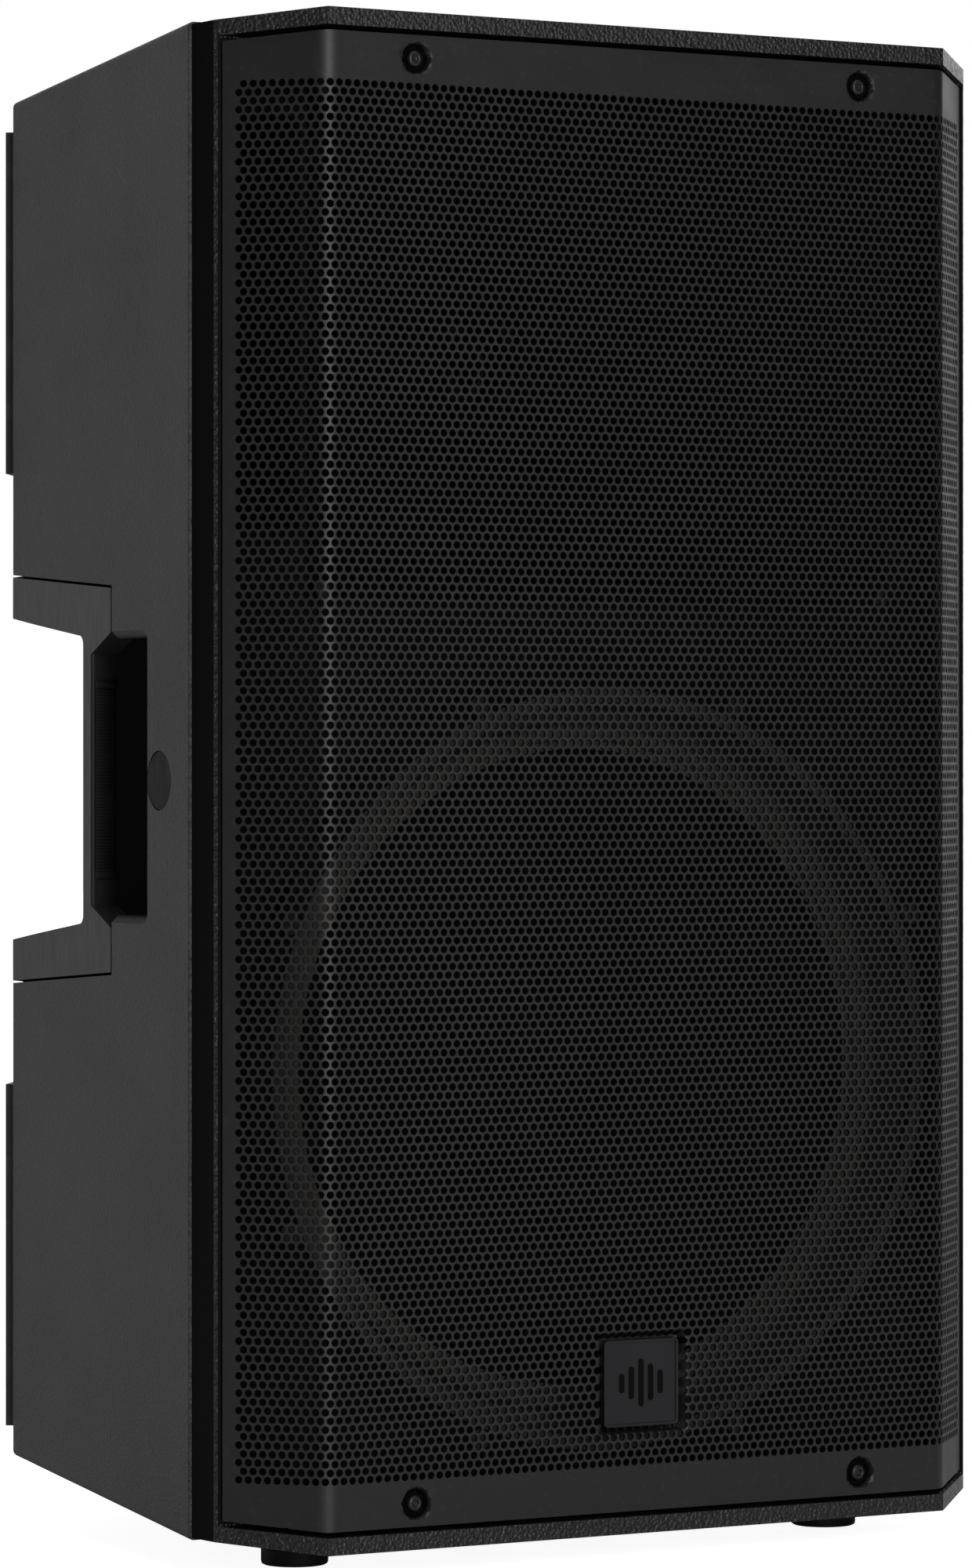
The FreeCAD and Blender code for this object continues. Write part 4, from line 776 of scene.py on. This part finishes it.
@dataclass
class Grille:
    """Folded perforated sheet: a flat front and two facets, in bands light enough to store."""

    pitch: float = 4.5 * MM
    hole: float = 1.76 * MM
    sheet: float = 1.5 * MM
    bands: int = 7
    corners: int = 12
    fold_radius: float = 12.0 * MM
    fold_angle: float = math.radians(45)
    hole_rise: float = 315.0 * MM
    lattice_height: float = 359.15 * MM
    hole_reach: float = 207.5 * MM
    dimple_radius: float = 7.5 * MM
    dimple_floor: float = 5.6 * MM
    dimple_depth: float = 4.2 * MM
    pan_half: float = 24.0 * MM
    pan_floor: float = 21.0 * MM
    pan_depth: float = 5.4 * MM
    frame_low: Vector = field(default_factory=lambda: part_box("front_grille")[0])
    frame_high: Vector = field(default_factory=lambda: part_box("front_grille")[1])

    def build(self) -> None:
        """Press, punch and fold the sheet, then dress its screws and the badge."""
        self.front = self.frame_low.y
        self.middle = (self.frame_low.z + self.frame_high.z) / 2
        self.rise = (self.frame_high.z - self.frame_low.z) / 2
        self.fold = 165.9 * MM
        facet = (self.frame_high.x - self.fold) / math.cos(self.fold_angle)
        self.reach = self.fold + facet
        self.badge = centre("badge_plate")
        screws_low, screws_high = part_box("grille_screws")
        head = 3.75 * MM
        self.dimples = [
            (x, z) for x in (screws_low.x + head, screws_high.x - head)
            for z in (screws_low.z + head, screws_high.z - head)
        ]
        self.punch()
        self.fit_screws()
        self.fit_badge()

    def edge_rise(self, along: np.ndarray) -> np.ndarray:
        """Half height of the sheet at a distance along it from its middle line."""
        drop = 0.112 * np.maximum(0.0, np.abs(along) - self.fold) * math.sin(self.fold_angle)
        return self.rise - drop

    def pressed(self, along: np.ndarray, height: np.ndarray) -> np.ndarray:
        """Depth that dimples and the badge pan are pressed in at places on the flat sheet."""
        depth = np.zeros_like(along)
        for x, z in self.dimples:
            away = np.hypot(along - x, height - z)
            dimple = soft_step(self.dimple_radius, self.dimple_floor, away)
            depth = np.maximum(depth, self.dimple_depth * dimple)
        square = np.maximum(np.abs(along - self.badge.x), np.abs(height - self.badge.z))
        return np.maximum(depth, self.pan_depth * soft_step(self.pan_half, self.pan_floor, square))

    def folded(self, along: np.ndarray, height: np.ndarray, under: float) -> np.ndarray:
        """Places in the frame of points of the sheet.

        Args:
            along: Distance from the middle line along the sheet.
            height: Height over the floor.
            under: Depth below the sheet's outer face.

        Returns:
            One row of x, y and z for each point.
        """
        side = np.sign(along)
        depth = under + self.pressed(along, height)
        arc = self.fold_radius * self.fold_angle
        start = self.fold - arc / 2
        turned = np.clip((np.abs(along) - start) / arc, 0.0, 1.0) * self.fold_angle
        rest = np.maximum(0.0, np.abs(along) - start - arc)
        flat = np.minimum(np.abs(along), start)
        out = flat + self.fold_radius * np.sin(turned) + rest * math.cos(self.fold_angle)
        back = self.fold_radius * (1 - np.cos(turned)) + rest * math.sin(self.fold_angle)
        x = side * (out - depth * np.sin(turned))
        y = self.front + back + depth * np.cos(turned)
        return np.column_stack([x, y, height])

    def punch(self) -> None:
        """Make each band of the sheet from six-sided cells, with a round hole in those inside the margins."""
        row_pitch = self.pitch * math.sqrt(3) / 2
        rows = int(self.rise / row_pitch) + 2
        levels = [(row, self.lattice_height + (row + 0.5) * row_pitch) for row in range(-rows, rows)]
        per_band = math.ceil(len(levels) / self.bands)
        for band in range(self.bands):
            part = levels[band * per_band:(band + 1) * per_band]
            centres = []
            for row, z in part:
                shift = self.pitch / 2 if row % 2 == 0 else 0.0
                count = int(self.reach / self.pitch) + 2
                for step in range(-count, count + 1):
                    s = step * self.pitch + shift
                    outside = abs(s) - self.pitch * 0.45 > self.reach
                    over = abs(z - self.middle) - row_pitch * 0.55 > self.edge_rise(np.array([s]))[0]
                    if not (outside or over):
                        centres.append((s, z))
            self.punch_band(band, np.array(centres))

    def punch_band(self, band: int, centres: np.ndarray) -> None:
        """Mesh one band of cells.

        Args:
            band: Number of the band, from the bottom.
            centres: Place along the sheet and height of each cell's middle.
        """
        angles = np.arange(self.corners) * 2 * math.pi / self.corners
        side = self.pitch / 2
        turn = (angles + math.pi / 6) % (math.pi / 3) - math.pi / 6
        reach = side / np.cos(turn)
        hexagon = np.column_stack([reach * np.cos(angles), reach * np.sin(angles)])
        circle = self.hole * np.column_stack([np.cos(angles), np.sin(angles)])
        rim = centres[:, None, :] + hexagon[None]
        edge = centres[:, None, :] + circle[None]
        cells = len(centres)
        count = self.corners
        flat = np.concatenate([rim.reshape(-1, 2), edge.reshape(-1, 2), centres])
        keys = np.round(flat / (0.02 * MM)).astype(np.int64)
        _, first, shared = np.unique(keys, axis=0, return_index=True, return_inverse=True)
        flat = flat[first]
        shared = shared.reshape(-1)
        flat[:, 0] = np.clip(flat[:, 0], -self.reach, self.reach)
        limit = self.edge_rise(flat[:, 0])
        flat[:, 1] = np.clip(flat[:, 1], self.middle - limit, self.middle + limit)
        rims = shared[:cells * count].reshape(cells, count)
        edges = shared[cells * count:2 * cells * count].reshape(cells, count)
        hubs = shared[2 * cells * count:]
        open_cell = (np.abs(centres[:, 1] - self.middle) < self.hole_rise) & (
            np.abs(centres[:, 0]) < self.hole_reach
        )
        face_sets = []
        after = np.roll(np.arange(count), -1)
        ring = np.stack([rims, rims[:, after], edges[:, after], edges], axis=2).reshape(-1, 4)
        face_sets.append(ring)
        total = len(flat)
        fan = np.stack(
            [edges[~open_cell], edges[~open_cell][:, after], np.repeat(hubs[~open_cell][:, None], count, 1)],
            axis=2,
        ).reshape(-1, 3)
        wall = np.stack([edges[open_cell], edges[open_cell][:, after]], axis=2).reshape(-1, 2)
        sides = np.sort(np.stack([rims, rims[:, after]], axis=2).reshape(-1, 2), axis=1)
        plain = np.stack([rims, rims[:, after]], axis=2).reshape(-1, 2)
        _, where, times = np.unique(sides, axis=0, return_inverse=True, return_counts=True)
        border = plain[times[where.reshape(-1)] == 1]
        quads = [
            ring,
            ring[:, ::-1] + total,
            np.column_stack([wall[:, 0], wall[:, 1], wall[:, 1] + total, wall[:, 0] + total]),
            np.column_stack([border[:, 1], border[:, 0], border[:, 0] + total, border[:, 1] + total]),
        ]
        quads = np.concatenate(quads)
        fans = np.concatenate([fan, fan[:, ::-1] + total])
        places = np.concatenate(
            [self.folded(flat[:, 0], flat[:, 1], 0.0), self.folded(flat[:, 0], flat[:, 1], self.sheet)]
        )
        used = np.zeros(2 * total, bool)
        used[quads.reshape(-1)] = True
        used[fans.reshape(-1)] = True
        renumber = np.cumsum(used) - 1
        mesh = bpy.data.meshes.new(f"grille_band_{band}")
        mesh.vertices.add(int(used.sum()))
        mesh.vertices.foreach_set("co", places[used].astype(np.float32).reshape(-1))
        loops = np.concatenate([renumber[quads].reshape(-1), renumber[fans].reshape(-1)]).astype(np.int32)
        sizes = np.concatenate([np.full(len(quads), 4), np.full(len(fans), 3)]).astype(np.int32)
        mesh.loops.add(len(loops))
        mesh.loops.foreach_set("vertex_index", loops)
        mesh.polygons.add(len(sizes))
        mesh.polygons.foreach_set("loop_start", (np.cumsum(sizes) - sizes).astype(np.int32))
        mesh.update(calc_edges=True)
        mesh.validate()
        self.lay_out(mesh, band)
        smooth_shade(mesh, 40)
        mesh.materials.append(GRILLE.material())
        piece = into_scene(f"grille_band_{band}", mesh)
        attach(piece, ROOT)
        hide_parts("front_grille")
        LOG.info("punched band %d: %d cells, %d faces", band, cells, len(mesh.polygons))

    def lay_out(self, mesh: bpy.types.Mesh, band: int) -> None:
        """Give a band a flat texture layout, its outer and inner faces side by side."""
        layer = mesh.uv_layers.new(name="OFBake")
        corners = len(mesh.loops)
        index = np.zeros(corners, np.int32)
        mesh.loops.foreach_get("vertex_index", index)
        places = np.zeros(len(mesh.vertices) * 3, np.float32)
        mesh.vertices.foreach_get("co", places)
        places = places.reshape(-1, 3)
        low, high = places.min(0), places.max(0)
        across = (places[:, 0] - low[0]) / (high[0] - low[0])
        up = (places[:, 2] - low[2]) / (high[2] - low[2])
        facing = np.zeros(len(mesh.vertices) * 3, np.float32)
        mesh.vertex_normals.foreach_get("vector", facing)
        inner = facing.reshape(-1, 3)[:, 1] > 0
        u = across * 0.98 + 0.01
        v = up * 0.46 + 0.01 + 0.5 * inner
        layer.data.foreach_set("uv", np.column_stack([u, v])[index].astype(np.float32).reshape(-1))

    def fit_screws(self) -> None:
        """Button head screws with a round socket, one in each dimple."""
        form = Form()
        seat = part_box("grille_screws")[0].y
        for x, z in self.dimples:
            button_screw(form, (x, seat + 2.5 * MM, z), 3.75 * MM, 2.3 * MM, 17 * MM, 2.3 * MM)
        new_piece("grille_button_screws", form, BLACK_STEEL, nodes=("grille_screws",))

    def fit_badge(self) -> None:
        """Square badge plate with a raised rim and a row of level bars."""
        low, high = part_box("badge_plate")
        half = (high.x - low.x) / 2
        middle = self.badge

        def facing(a: float, b: float, depth: float) -> Point:
            return (middle.x + a, low.y - depth, middle.z + b)

        plate = Form()
        plate.prism(rounded_outline(half, half, 2.2 * MM), -(high.y - low.y), -0.7 * MM, facing)
        plate.prism(frame_outline(half), -0.7 * MM, 0.0, facing)
        new_piece("badge_panel", plate, BADGE, nodes=("badge_plate",), bevel=0.25 * MM)
        bars = Form()
        levels = (9.0, 15.0, 22.0, 17.0, 11.0)
        for index, tall in enumerate(levels):
            start = (index - (len(levels) - 1) / 2) * 5.2 * MM

            def on_plate(a: float, b: float, depth: float, start: float = start) -> Point:
                return (middle.x + start + a, low.y - depth, middle.z + b)

            bars.prism(rounded_outline(1.5 * MM, tall / 2 * MM, 1.4 * MM), -0.9 * MM, -0.62 * MM, on_plate)
        new_piece("badge_level_bars", bars, BADGE_INLAY)


def frame_outline(half: float) -> list[tuple[float, float]]:
    """Outline of a thin square frame, cut open at one corner so that it is one loop."""
    outer = rounded_outline(half, half, 2.2 * MM)
    inner = rounded_outline(half - 1.3 * MM, half - 1.3 * MM, 1.2 * MM)
    return outer + [outer[0]] + [inner[0]] + list(reversed(inner))


def soft_step(outside: float, inside: float, value: np.ndarray) -> np.ndarray:
    """Rise smoothly from 0 outside to 1 inside."""
    part = np.clip((outside - value) / (outside - inside), 0.0, 1.0)
    return part * part * (3 - 2 * part)


def button_screw(form: Form, seat: Point, radius: float, rise: float, length: float, shank: float) -> None:
    """Add a button head screw that points along +Y, with a round socket.

    Args:
        form: Form to add to.
        seat: Middle of the head's underside.
        radius: Head radius.
        rise: Head height.
        length: Shank length under the head.
        shank: Shank radius.
    """
    dome = []
    for step in range(6):
        angle = math.pi / 2 * step / 6
        dome.append((radius * math.cos(angle * 0.62), rise * (0.25 + 0.75 * math.sin(angle))))
    socket = radius * 0.42
    profile = [
        (0.0, -length), (shank * 0.7, -length), (shank, -length + 0.6 * MM), (shank, 0.0),
        (radius, 0.0), *dome, (socket * 1.25, rise), (socket, rise - 0.2 * MM),
        (socket, rise * 0.35), (0.0, rise * 0.2),
    ]
    form.turned(profile, seat, Axis.FORWARD, 36)


@dataclass
class SideHandle:
    """One side handle: satin frame, with a ribbed rubber grip between two collars."""

    side: str
    rib_pitch: float = 1.5 * MM
    rib_depth: float = 0.3 * MM
    collar: float = 3.6 * MM
    collar_proud: float = 0.9 * MM

    def build(self) -> None:
        """Dress the frame and mould the grip."""
        dress(HANDLE, f"{self.side}_handle_frame", bevel=0.9 * MM)
        low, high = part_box(f"{self.side}_handle_grip")
        form = Form()
        self.add_column(form, self.ribbed(low.z + self.collar, high.z - self.collar), low, high)
        for start in (low.z - 0.1 * MM, high.z - self.collar + 0.1 * MM):
            self.add_column(form, self.rounded(start), low, high)
        new_piece(
            f"{self.side}_ribbed_grip", form, RUBBER, nodes=(f"{self.side}_handle_grip",)
        )

    def ribbed(self, bottom: float, top: float) -> list[tuple[float, float]]:
        """Heights and outward steps of the ribbed length."""
        count = round((top - bottom) / self.rib_pitch)
        step = (top - bottom) / count
        levels = [(bottom, 0.0)]
        for rib in range(count):
            base = bottom + rib * step
            levels += [(base + 0.15 * step, 0.0), (base + 0.6 * step, 0.0)]
            levels += [(base + 0.72 * step, -self.rib_depth), (base + 0.95 * step, -self.rib_depth)]
        return levels + [(top, 0.0)]

    def rounded(self, start: float) -> list[tuple[float, float]]:
        """Heights and outward steps of one collar with a round edge."""
        proud, tall = self.collar_proud, self.collar
        return [
            (start, 0.0), (start, proud * 0.5), (start + 0.12 * tall, proud * 0.85),
            (start + 0.3 * tall, proud), (start + 0.7 * tall, proud),
            (start + 0.88 * tall, proud * 0.85), (start + tall, proud * 0.5), (start + tall, 0.0),
        ]

    def add_column(self, form: Form, levels: Outline, low: Vector, high: Vector) -> None:
        """Add a closed upright column whose rounded plan steps out by each level's amount."""
        middle = (low + high) / 2
        half_x, half_y = (high.x - low.x) / 2, (high.y - low.y) / 2
        rings = []
        for height, grow in levels:
            outline = rounded_outline(half_x + grow * 0.5, half_y + grow, 1.6 * MM, 4)
            rings.append([(middle.x + a, middle.y + b, height) for a, b in outline])
        count = len(rings[0])
        faces = []
        for row in range(len(rings) - 1):
            for step in range(count):
                start, after = row * count + step, row * count + (step + 1) % count
                faces.append([start, after, after + count, start + count])
        last = (len(rings) - 1) * count
        faces += [list(reversed(range(count))), list(range(last, last + count))]
        form.add([point for ring in rings for point in ring], faces)


@dataclass
class DriveUnits:
    """Woofer, horn and compression driver behind the grille."""

    def build(self) -> None:
        """Dress the drive units and mould the moving edge of the woofer."""
        dress(FRONT, "front_baffle", bevel=0.6 * MM)
        dress(MOULDED, "left_port_duct", "right_port_duct")
        dress(MOULDED, "horn_waveguide", "driver_rear_cover", "driver_phase_plug")
        dress(BASKET, "woofer_basket")
        dress(FOAM, "woofer_gasket")
        dress(BLACK_STEEL, "woofer_screws", "horn_screws")
        dress(ZINC, "woofer_top_plate", "woofer_pole_yoke")
        dress(FERRITE, "woofer_magnet")
        dress(PULP, "woofer_cone", "woofer_dust_cap")
        dress(COPPER, "woofer_voice_coil")
        dress(CONNECTOR, "woofer_terminal")
        dress(BASKET, "driver_body")
        dress(DOME, "driver_diaphragm")
        self.roll_surround()
        self.press_spider()

    def roll_surround(self) -> None:
        """Pleated cloth surround that stretches between the frame and the cone."""
        low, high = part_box("woofer_surround")
        cone_low, cone_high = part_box("woofer_cone")
        middle = centre("woofer_cone")
        inner = (cone_high.x - cone_low.x) / 2 - 1.0 * MM
        outer = (high.x - low.x) / 2
        base = cone_low.y
        line = [(inner, 0.0), (inner + 4 * MM, 0.0)]
        for fold in range(2):
            start = inner + (4 + fold * 8.0) * MM
            for step in range(1, 9):
                angle = math.pi * step / 8
                across = start + 4.0 * MM * (1 - math.cos(angle))
                line.append((across, (-1) ** fold * -4.5 * MM * math.sin(angle)))
        line.append((outer - 2 * MM, -10 * MM))
        line.append((outer, (low.y - base) + 0.2 * MM))
        thick = 0.9 * MM
        profile = line + [(radius - 0.2 * MM, depth + thick) for radius, depth in reversed(line)]
        profile.append(line[0])
        form = Form()
        form.lathed(profile, (middle.x, base, middle.z), 96)
        piece = blended_piece("pleated_surround", form, CLOTH, "woofer_surround")
        blend_radially(piece)

    def press_spider(self) -> None:
        """Corrugated centring spider."""
        low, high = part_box("woofer_spider")
        middle = centre("woofer_spider")
        outer = (high.x - low.x) / 2
        inner = 40.2 * MM
        line = []
        waves = 5
        for step in range(waves * 8 + 1):
            part = step / (waves * 8)
            line.append((inner + (outer - inner) * part, 1.1 * MM * math.sin(2 * math.pi * waves * part)))
        profile = line + [(radius, depth + 0.6 * MM) for radius, depth in reversed(line)]
        profile.append(line[0])
        form = Form()
        form.lathed(profile, tuple(middle), 72)
        piece = blended_piece("corrugated_spider", form, CLOTH, "woofer_spider")
        blend_radially(piece)


def blended_piece(name: str, form: Form, finish: Finish, node: str) -> bpy.types.Object:
    """Make a piece that stands for a CAD node and isn't hung on a body yet."""
    piece = mesh_object(name, form, finish, 60)
    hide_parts(node)
    return piece


def blend_radially(piece: bpy.types.Object) -> None:
    """Bake a ring's place into its mesh and read where its vertices are.

    Args:
        piece: The ring.
    """
    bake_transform(piece)
    count = len(piece.data.vertices)
    places = np.zeros(count * 3, np.float32)
    piece.data.vertices.foreach_get("co", places)
    places = places.reshape(-1, 3)


@dataclass
class Amplifier:
    """Amplifier module: rear panel with its controls and sockets, cooling fins and the parts inside."""

    scale_dots: int = 11

    def build(self) -> None:
        """Dress the module, and make its knob, keys, screws and scale."""
        dress(PANEL, "amp_plate", bevel=0.4 * MM)
        dress(FOAM, "amp_gasket")
        dress(SINK, "heat_sink", bevel=0.3 * MM)
        dress(CONNECTOR, "combo_input", "xlr_output", "rocker_housing", bevel=0.35 * MM)
        dress(CONNECTOR, "power_inlet", "power_outlet", bevel=0.35 * MM)
        dress(NICKEL, "combo_latch", bevel=0.3 * MM)
        dress(GOLD, "xlr_pins")
        dress(CONNECTOR, "power_rocker", bevel=0.4 * MM)
        dress(SWITCH, "volume_pot", "push_switches")
        dress(BOARD, "amp_board")
        dress(TAPE, "power_transformer", bevel=2 * MM)
        dress(SLEEVE, "power_capacitors", bevel=0.8 * MM)
        dress(CHIP, "output_devices", bevel=0.2 * MM)
        self.turn_knob()
        self.cap_buttons()
        self.fit_screws()
        self.fit_lamps()
        self.print_scale()

    def turn_knob(self) -> None:
        """Knob with a fluted skirt, a dished top and a pointer line."""
        low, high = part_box("volume_knob")
        middle = centre("volume_knob")
        radius = (high.x - low.x) / 2
        base = high.y - 8.5 * MM
        flutes = 24
        sides = flutes * 6
        form = Form()
        levels = [
            (0.0, 1.0, 0.0), (0.4, 1.0, 0.0), (0.9, 1.0, 0.35), (5.5, 0.96, 0.35), (6.6, 0.93, 0.2),
            (7.7, 0.86, 0.0), (8.3, 0.78, 0.0), (8.0, 0.6, 0.0), (7.8, 0.3, 0.0),
        ]
        points: list[Point] = []
        for length, share, flute in levels:
            for step in range(sides):
                angle = 2 * math.pi * step / sides
                size = radius * share - flute * MM * (1 + math.cos(flutes * angle))
                points.append(
                    (middle.x + size * math.cos(angle), base + length * MM, middle.z + size * math.sin(angle))
                )
        faces: list[Sequence[int]] = []
        for row in range(len(levels) - 1):
            for step in range(sides):
                after = (step + 1) % sides
                lower, upper = row * sides, (row + 1) * sides
                faces.append([upper + step, upper + after, lower + after, lower + step])
        last = (len(levels) - 1) * sides
        faces.append([last + step for step in reversed(range(sides))])
        faces.append(list(range(sides)))
        form.add(points, faces)
        form.turned(
            [(0.0, 0.0), (3 * MM, 0.0), (3 * MM, base - low.y), (0.0, base - low.y)],
            (middle.x, base + 0.1 * MM, middle.z), Axis.FORWARD, 24,
        )
        new_piece("fluted_knob", form, KNOB, "volume_knob", ("volume_knob",))
        pointer = Form()

        def on_top(a: float, b: float, depth: float) -> Point:
            return (middle.x - a, base + depth, middle.z + b)

        outline = [(a, b + radius * 0.42) for a, b in rounded_outline(0.5 * MM, radius * 0.3, 0.4 * MM, 3)]
        pointer.prism(outline, 7.0 * MM, 8.45 * MM, on_top)
        new_piece("knob_pointer", pointer, PANEL_MARK, "volume_knob", (), bevel=0.08 * MM)

    def cap_buttons(self) -> None:
        """Round keys with a dished face."""
        for name in ("preset_button", "ground_lift_button"):
            low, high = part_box(name)
            middle = centre(name)
            radius = (high.x - low.x) / 2
            tall = high.y - low.y
            profile = [(0.0, 0.0), (radius - 0.2 * MM, 0.0), (radius, 0.3 * MM), (radius, tall - 0.7 * MM)]
            profile += [(radius - 0.25 * MM, tall - 0.15 * MM), (radius - 0.8 * MM, tall)]
            profile += [(radius * 0.5, tall - 0.3 * MM), (0.0, tall - 0.45 * MM)]
            form = Form()
            form.lathed(profile, (middle.x, low.y, middle.z), 40)
            new_piece(f"{name}_cap", form, KEYCAP, name, (name,))

    def fit_screws(self) -> None:
        """Panel screws with a domed head and a round recess."""
        node_low, node_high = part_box("amp_screws")
        radius = 3.2 * MM
        form = Form()
        for x in (node_low.x + radius, node_high.x - radius):
            for level in range(5):
                z = node_low.z + radius + (node_high.z - node_low.z - 2 * radius) * level / 4
                profile = [(0.0, -1.0 * MM), (radius * 0.6, -1.0 * MM), (radius, 0.0), (radius, 0.5 * MM)]
                profile += [(radius * 0.86, 1.3 * MM), (radius * 0.6, 1.75 * MM), (radius * 0.45, 1.8 * MM)]
                profile += [(radius * 0.38, 0.7 * MM), (0.0, 0.4 * MM)]
                form.lathed(profile, (x, node_low.y, z), 36)
        new_piece("panel_screws", form, BLACK_STEEL, nodes=("amp_screws",))

    def fit_lamps(self) -> None:
        """Domed indicator lenses."""
        low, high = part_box("status_leds")
        radius = 1.9 * MM
        form = Form()
        count = 4
        for index in range(count):
            x = low.x + radius + (high.x - low.x - 2 * radius) * index / (count - 1)
            tall = high.y - low.y
            profile = [(0.0, 0.0), (radius, 0.0), (radius, tall - 0.6 * MM), (radius * 0.8, tall - 0.15 * MM)]
            profile += [(radius * 0.4, tall), (0.0, tall + 0.05 * MM)]
            form.lathed(profile, (x, low.y, (low.z + high.z) / 2), 28)
        new_piece("indicator_lenses", form, LENS, nodes=("status_leds",))

    def print_scale(self) -> None:
        """Raised dots round the knob, which grow with its level."""
        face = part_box("amp_plate")[1].y
        knob = centre("volume_knob")
        dots = Form()
        for index in range(self.scale_dots):
            angle = math.radians(-150 + 300 * index / (self.scale_dots - 1))
            reach = 13.5 * MM
            spot = (knob.x - reach * math.sin(angle), face, knob.z + reach * math.cos(angle))
            size = (0.5 + 0.05 * index) * MM
            profile = [(0.0, 0.0), (size, 0.0), (size, -0.12 * MM), (0.0, -0.15 * MM)]
            dots.turned(profile, spot, Axis.FORWARD, 16)
        new_piece("knob_scale_dots", dots, PANEL_MARK)


@dataclass
class Studio:
    """Pale floor, soft lights and the camera."""

    camera_place: Point = (-1.4990, -2.6226, 0.3731)
    camera_turn: float = -30.2
    focal_length: float = 142.15
    lift: float = -0.0212
    ambient: float = 0.09
    backdrop: float = 1.2
    floor_glow: float = 0.92

    def build(self) -> None:
        """Set up the floor, the surroundings, the lights and the camera."""
        self.lay_floor()
        self.surround()
        self.light("rear_left_bank", 143.0, 3.6, 0.5, (1.6, 2.4), 18.5)
        self.light("front_strip", 8.0, 3.4, 0.75, (1.0, 2.4), 54.0)
        self.light("rear_right_bank", -122.0, 3.4, 0.5, (1.2, 2.4), 7.5)
        self.light("top_bank", 0.0, 0.2, 3.0, (3.0, 3.0), 40.0)
        self.set_camera()
        bpy.context.scene.view_settings.view_transform = "Standard"

    def lay_floor(self) -> None:
        """Large pale floor that reads white to the camera."""
        reach = 12.0
        mesh = bpy.data.meshes.new("studio_floor")
        corners = [(-reach, -reach, 0), (reach, -reach, 0), (reach, reach, 0), (-reach, reach, 0)]
        mesh.from_pydata(corners, [], [(0, 1, 2, 3)])
        shader = Shader("studio_paper")
        grain = shader.noise(1.2 * MM, 3.0)
        seen = Value(shader, shader.node("ShaderNodeLightPath", {}, {}).outputs["Is Camera Ray"])
        shader.set(
            Base_Color=shader.blend(shader.noise(0.8, 2.0), (0.78, 0.78, 0.78), (0.82, 0.82, 0.82)),
            Roughness=0.8 + grain * 0.1,
            Specular_IOR_Level=0.1,
            Emission_Color=shader.blend(seen, (0.0, 0.0, 0.0), (self.floor_glow,) * 3),
            Emission_Strength=1.0,
        )
        mesh.materials.append(shader.material)
        floor = bpy.data.objects.new("studio_floor", mesh)
        bpy.context.scene.collection.objects.link(floor)

    def surround(self) -> None:
        """Dim surroundings with a bright backdrop behind the cabinet, which the camera sees as white."""
        world = bpy.data.worlds.new("studio")
        bpy.context.scene.world = world
        world.use_nodes = True
        tree = world.node_tree
        tree.nodes.clear()
        seen = tree.nodes.new("ShaderNodeLightPath")
        choose = tree.nodes.new("ShaderNodeMix")
        choose.data_type = "FLOAT"
        tree.links.new(seen.outputs["Is Camera Ray"], choose.inputs[0])
        place = tree.nodes.new("ShaderNodeTexCoord")
        toward = tree.nodes.new("ShaderNodeVectorMath")
        toward.operation = "DOT_PRODUCT"
        bearing = math.radians(-self.camera_turn)
        toward.inputs[1].default_value = (math.sin(bearing), math.cos(bearing), 0.25)
        tree.links.new(place.outputs["Generated"], toward.inputs[0])
        lobe = tree.nodes.new("ShaderNodeMapRange")
        lobe.interpolation_type = "SMOOTHSTEP"
        lobe.inputs["From Min"].default_value = 0.80
        lobe.inputs["From Max"].default_value = 0.96
        lobe.inputs["To Min"].default_value = self.ambient
        lobe.inputs["To Max"].default_value = self.backdrop
        tree.links.new(toward.outputs["Value"], lobe.inputs["Value"])
        tree.links.new(lobe.outputs["Result"], choose.inputs[2])
        choose.inputs[3].default_value = 1.0
        background = tree.nodes.new("ShaderNodeBackground")
        background.inputs["Color"].default_value = (1.0, 1.0, 1.0, 1.0)
        tree.links.new(choose.outputs[0], background.inputs["Strength"])
        output = tree.nodes.new("ShaderNodeOutputWorld")
        tree.links.new(background.outputs[0], output.inputs["Surface"])

    def light(
        self,
        name: str,
        bearing: float,
        distance: float,
        height: float,
        size: tuple[float, float],
        power: float,
    ) -> None:
        """Add a soft light that points at the middle of the cabinet.

        Args:
            name: The light's name.
            bearing: Degrees round from straight ahead of the front, counted towards -X.
            distance: Distance from the cabinet in metres.
            height: Height over the floor in metres.
            size: Its width and height in metres.
            power: Its power in watts.
        """
        angle = math.radians(bearing)
        place = Vector((-math.sin(angle) * distance, -math.cos(angle) * distance, height))
        data = bpy.data.lights.new(name, "AREA")
        data.shape = "RECTANGLE"
        data.size, data.size_y = size
        data.energy = power
        lamp = bpy.data.objects.new(name, data)
        lamp.location = place
        lamp.rotation_euler = (Vector((0.0, 0.0, MID_HEIGHT)) - place).to_track_quat("-Z", "Y").to_euler()
        bpy.context.scene.collection.objects.link(lamp)

    def set_camera(self) -> None:
        """Level camera on the -X side of the front, with a long lens."""
        data = bpy.data.cameras.new("studio_camera")
        data.lens = self.focal_length
        data.shift_y = self.lift
        data.clip_end = 100.0
        camera = bpy.data.objects.new("studio_camera", data)
        camera.location = self.camera_place
        camera.rotation_euler = (math.radians(90), 0.0, math.radians(self.camera_turn))
        bpy.context.scene.collection.objects.link(camera)
        bpy.context.scene.camera = camera


def main() -> None:
    """Build the cabinet's looks in order, then the studio, and note the sizes."""
    logging.basicConfig(level=logging.INFO, format="%(name)s: %(message)s")
    Enclosure().build()
    DriveUnits().build()
    Grille().build()
    SideHandle("left").build()
    SideHandle("right").build()
    Amplifier().build()
    Studio().build()


if __name__ == "__main__":
    main()
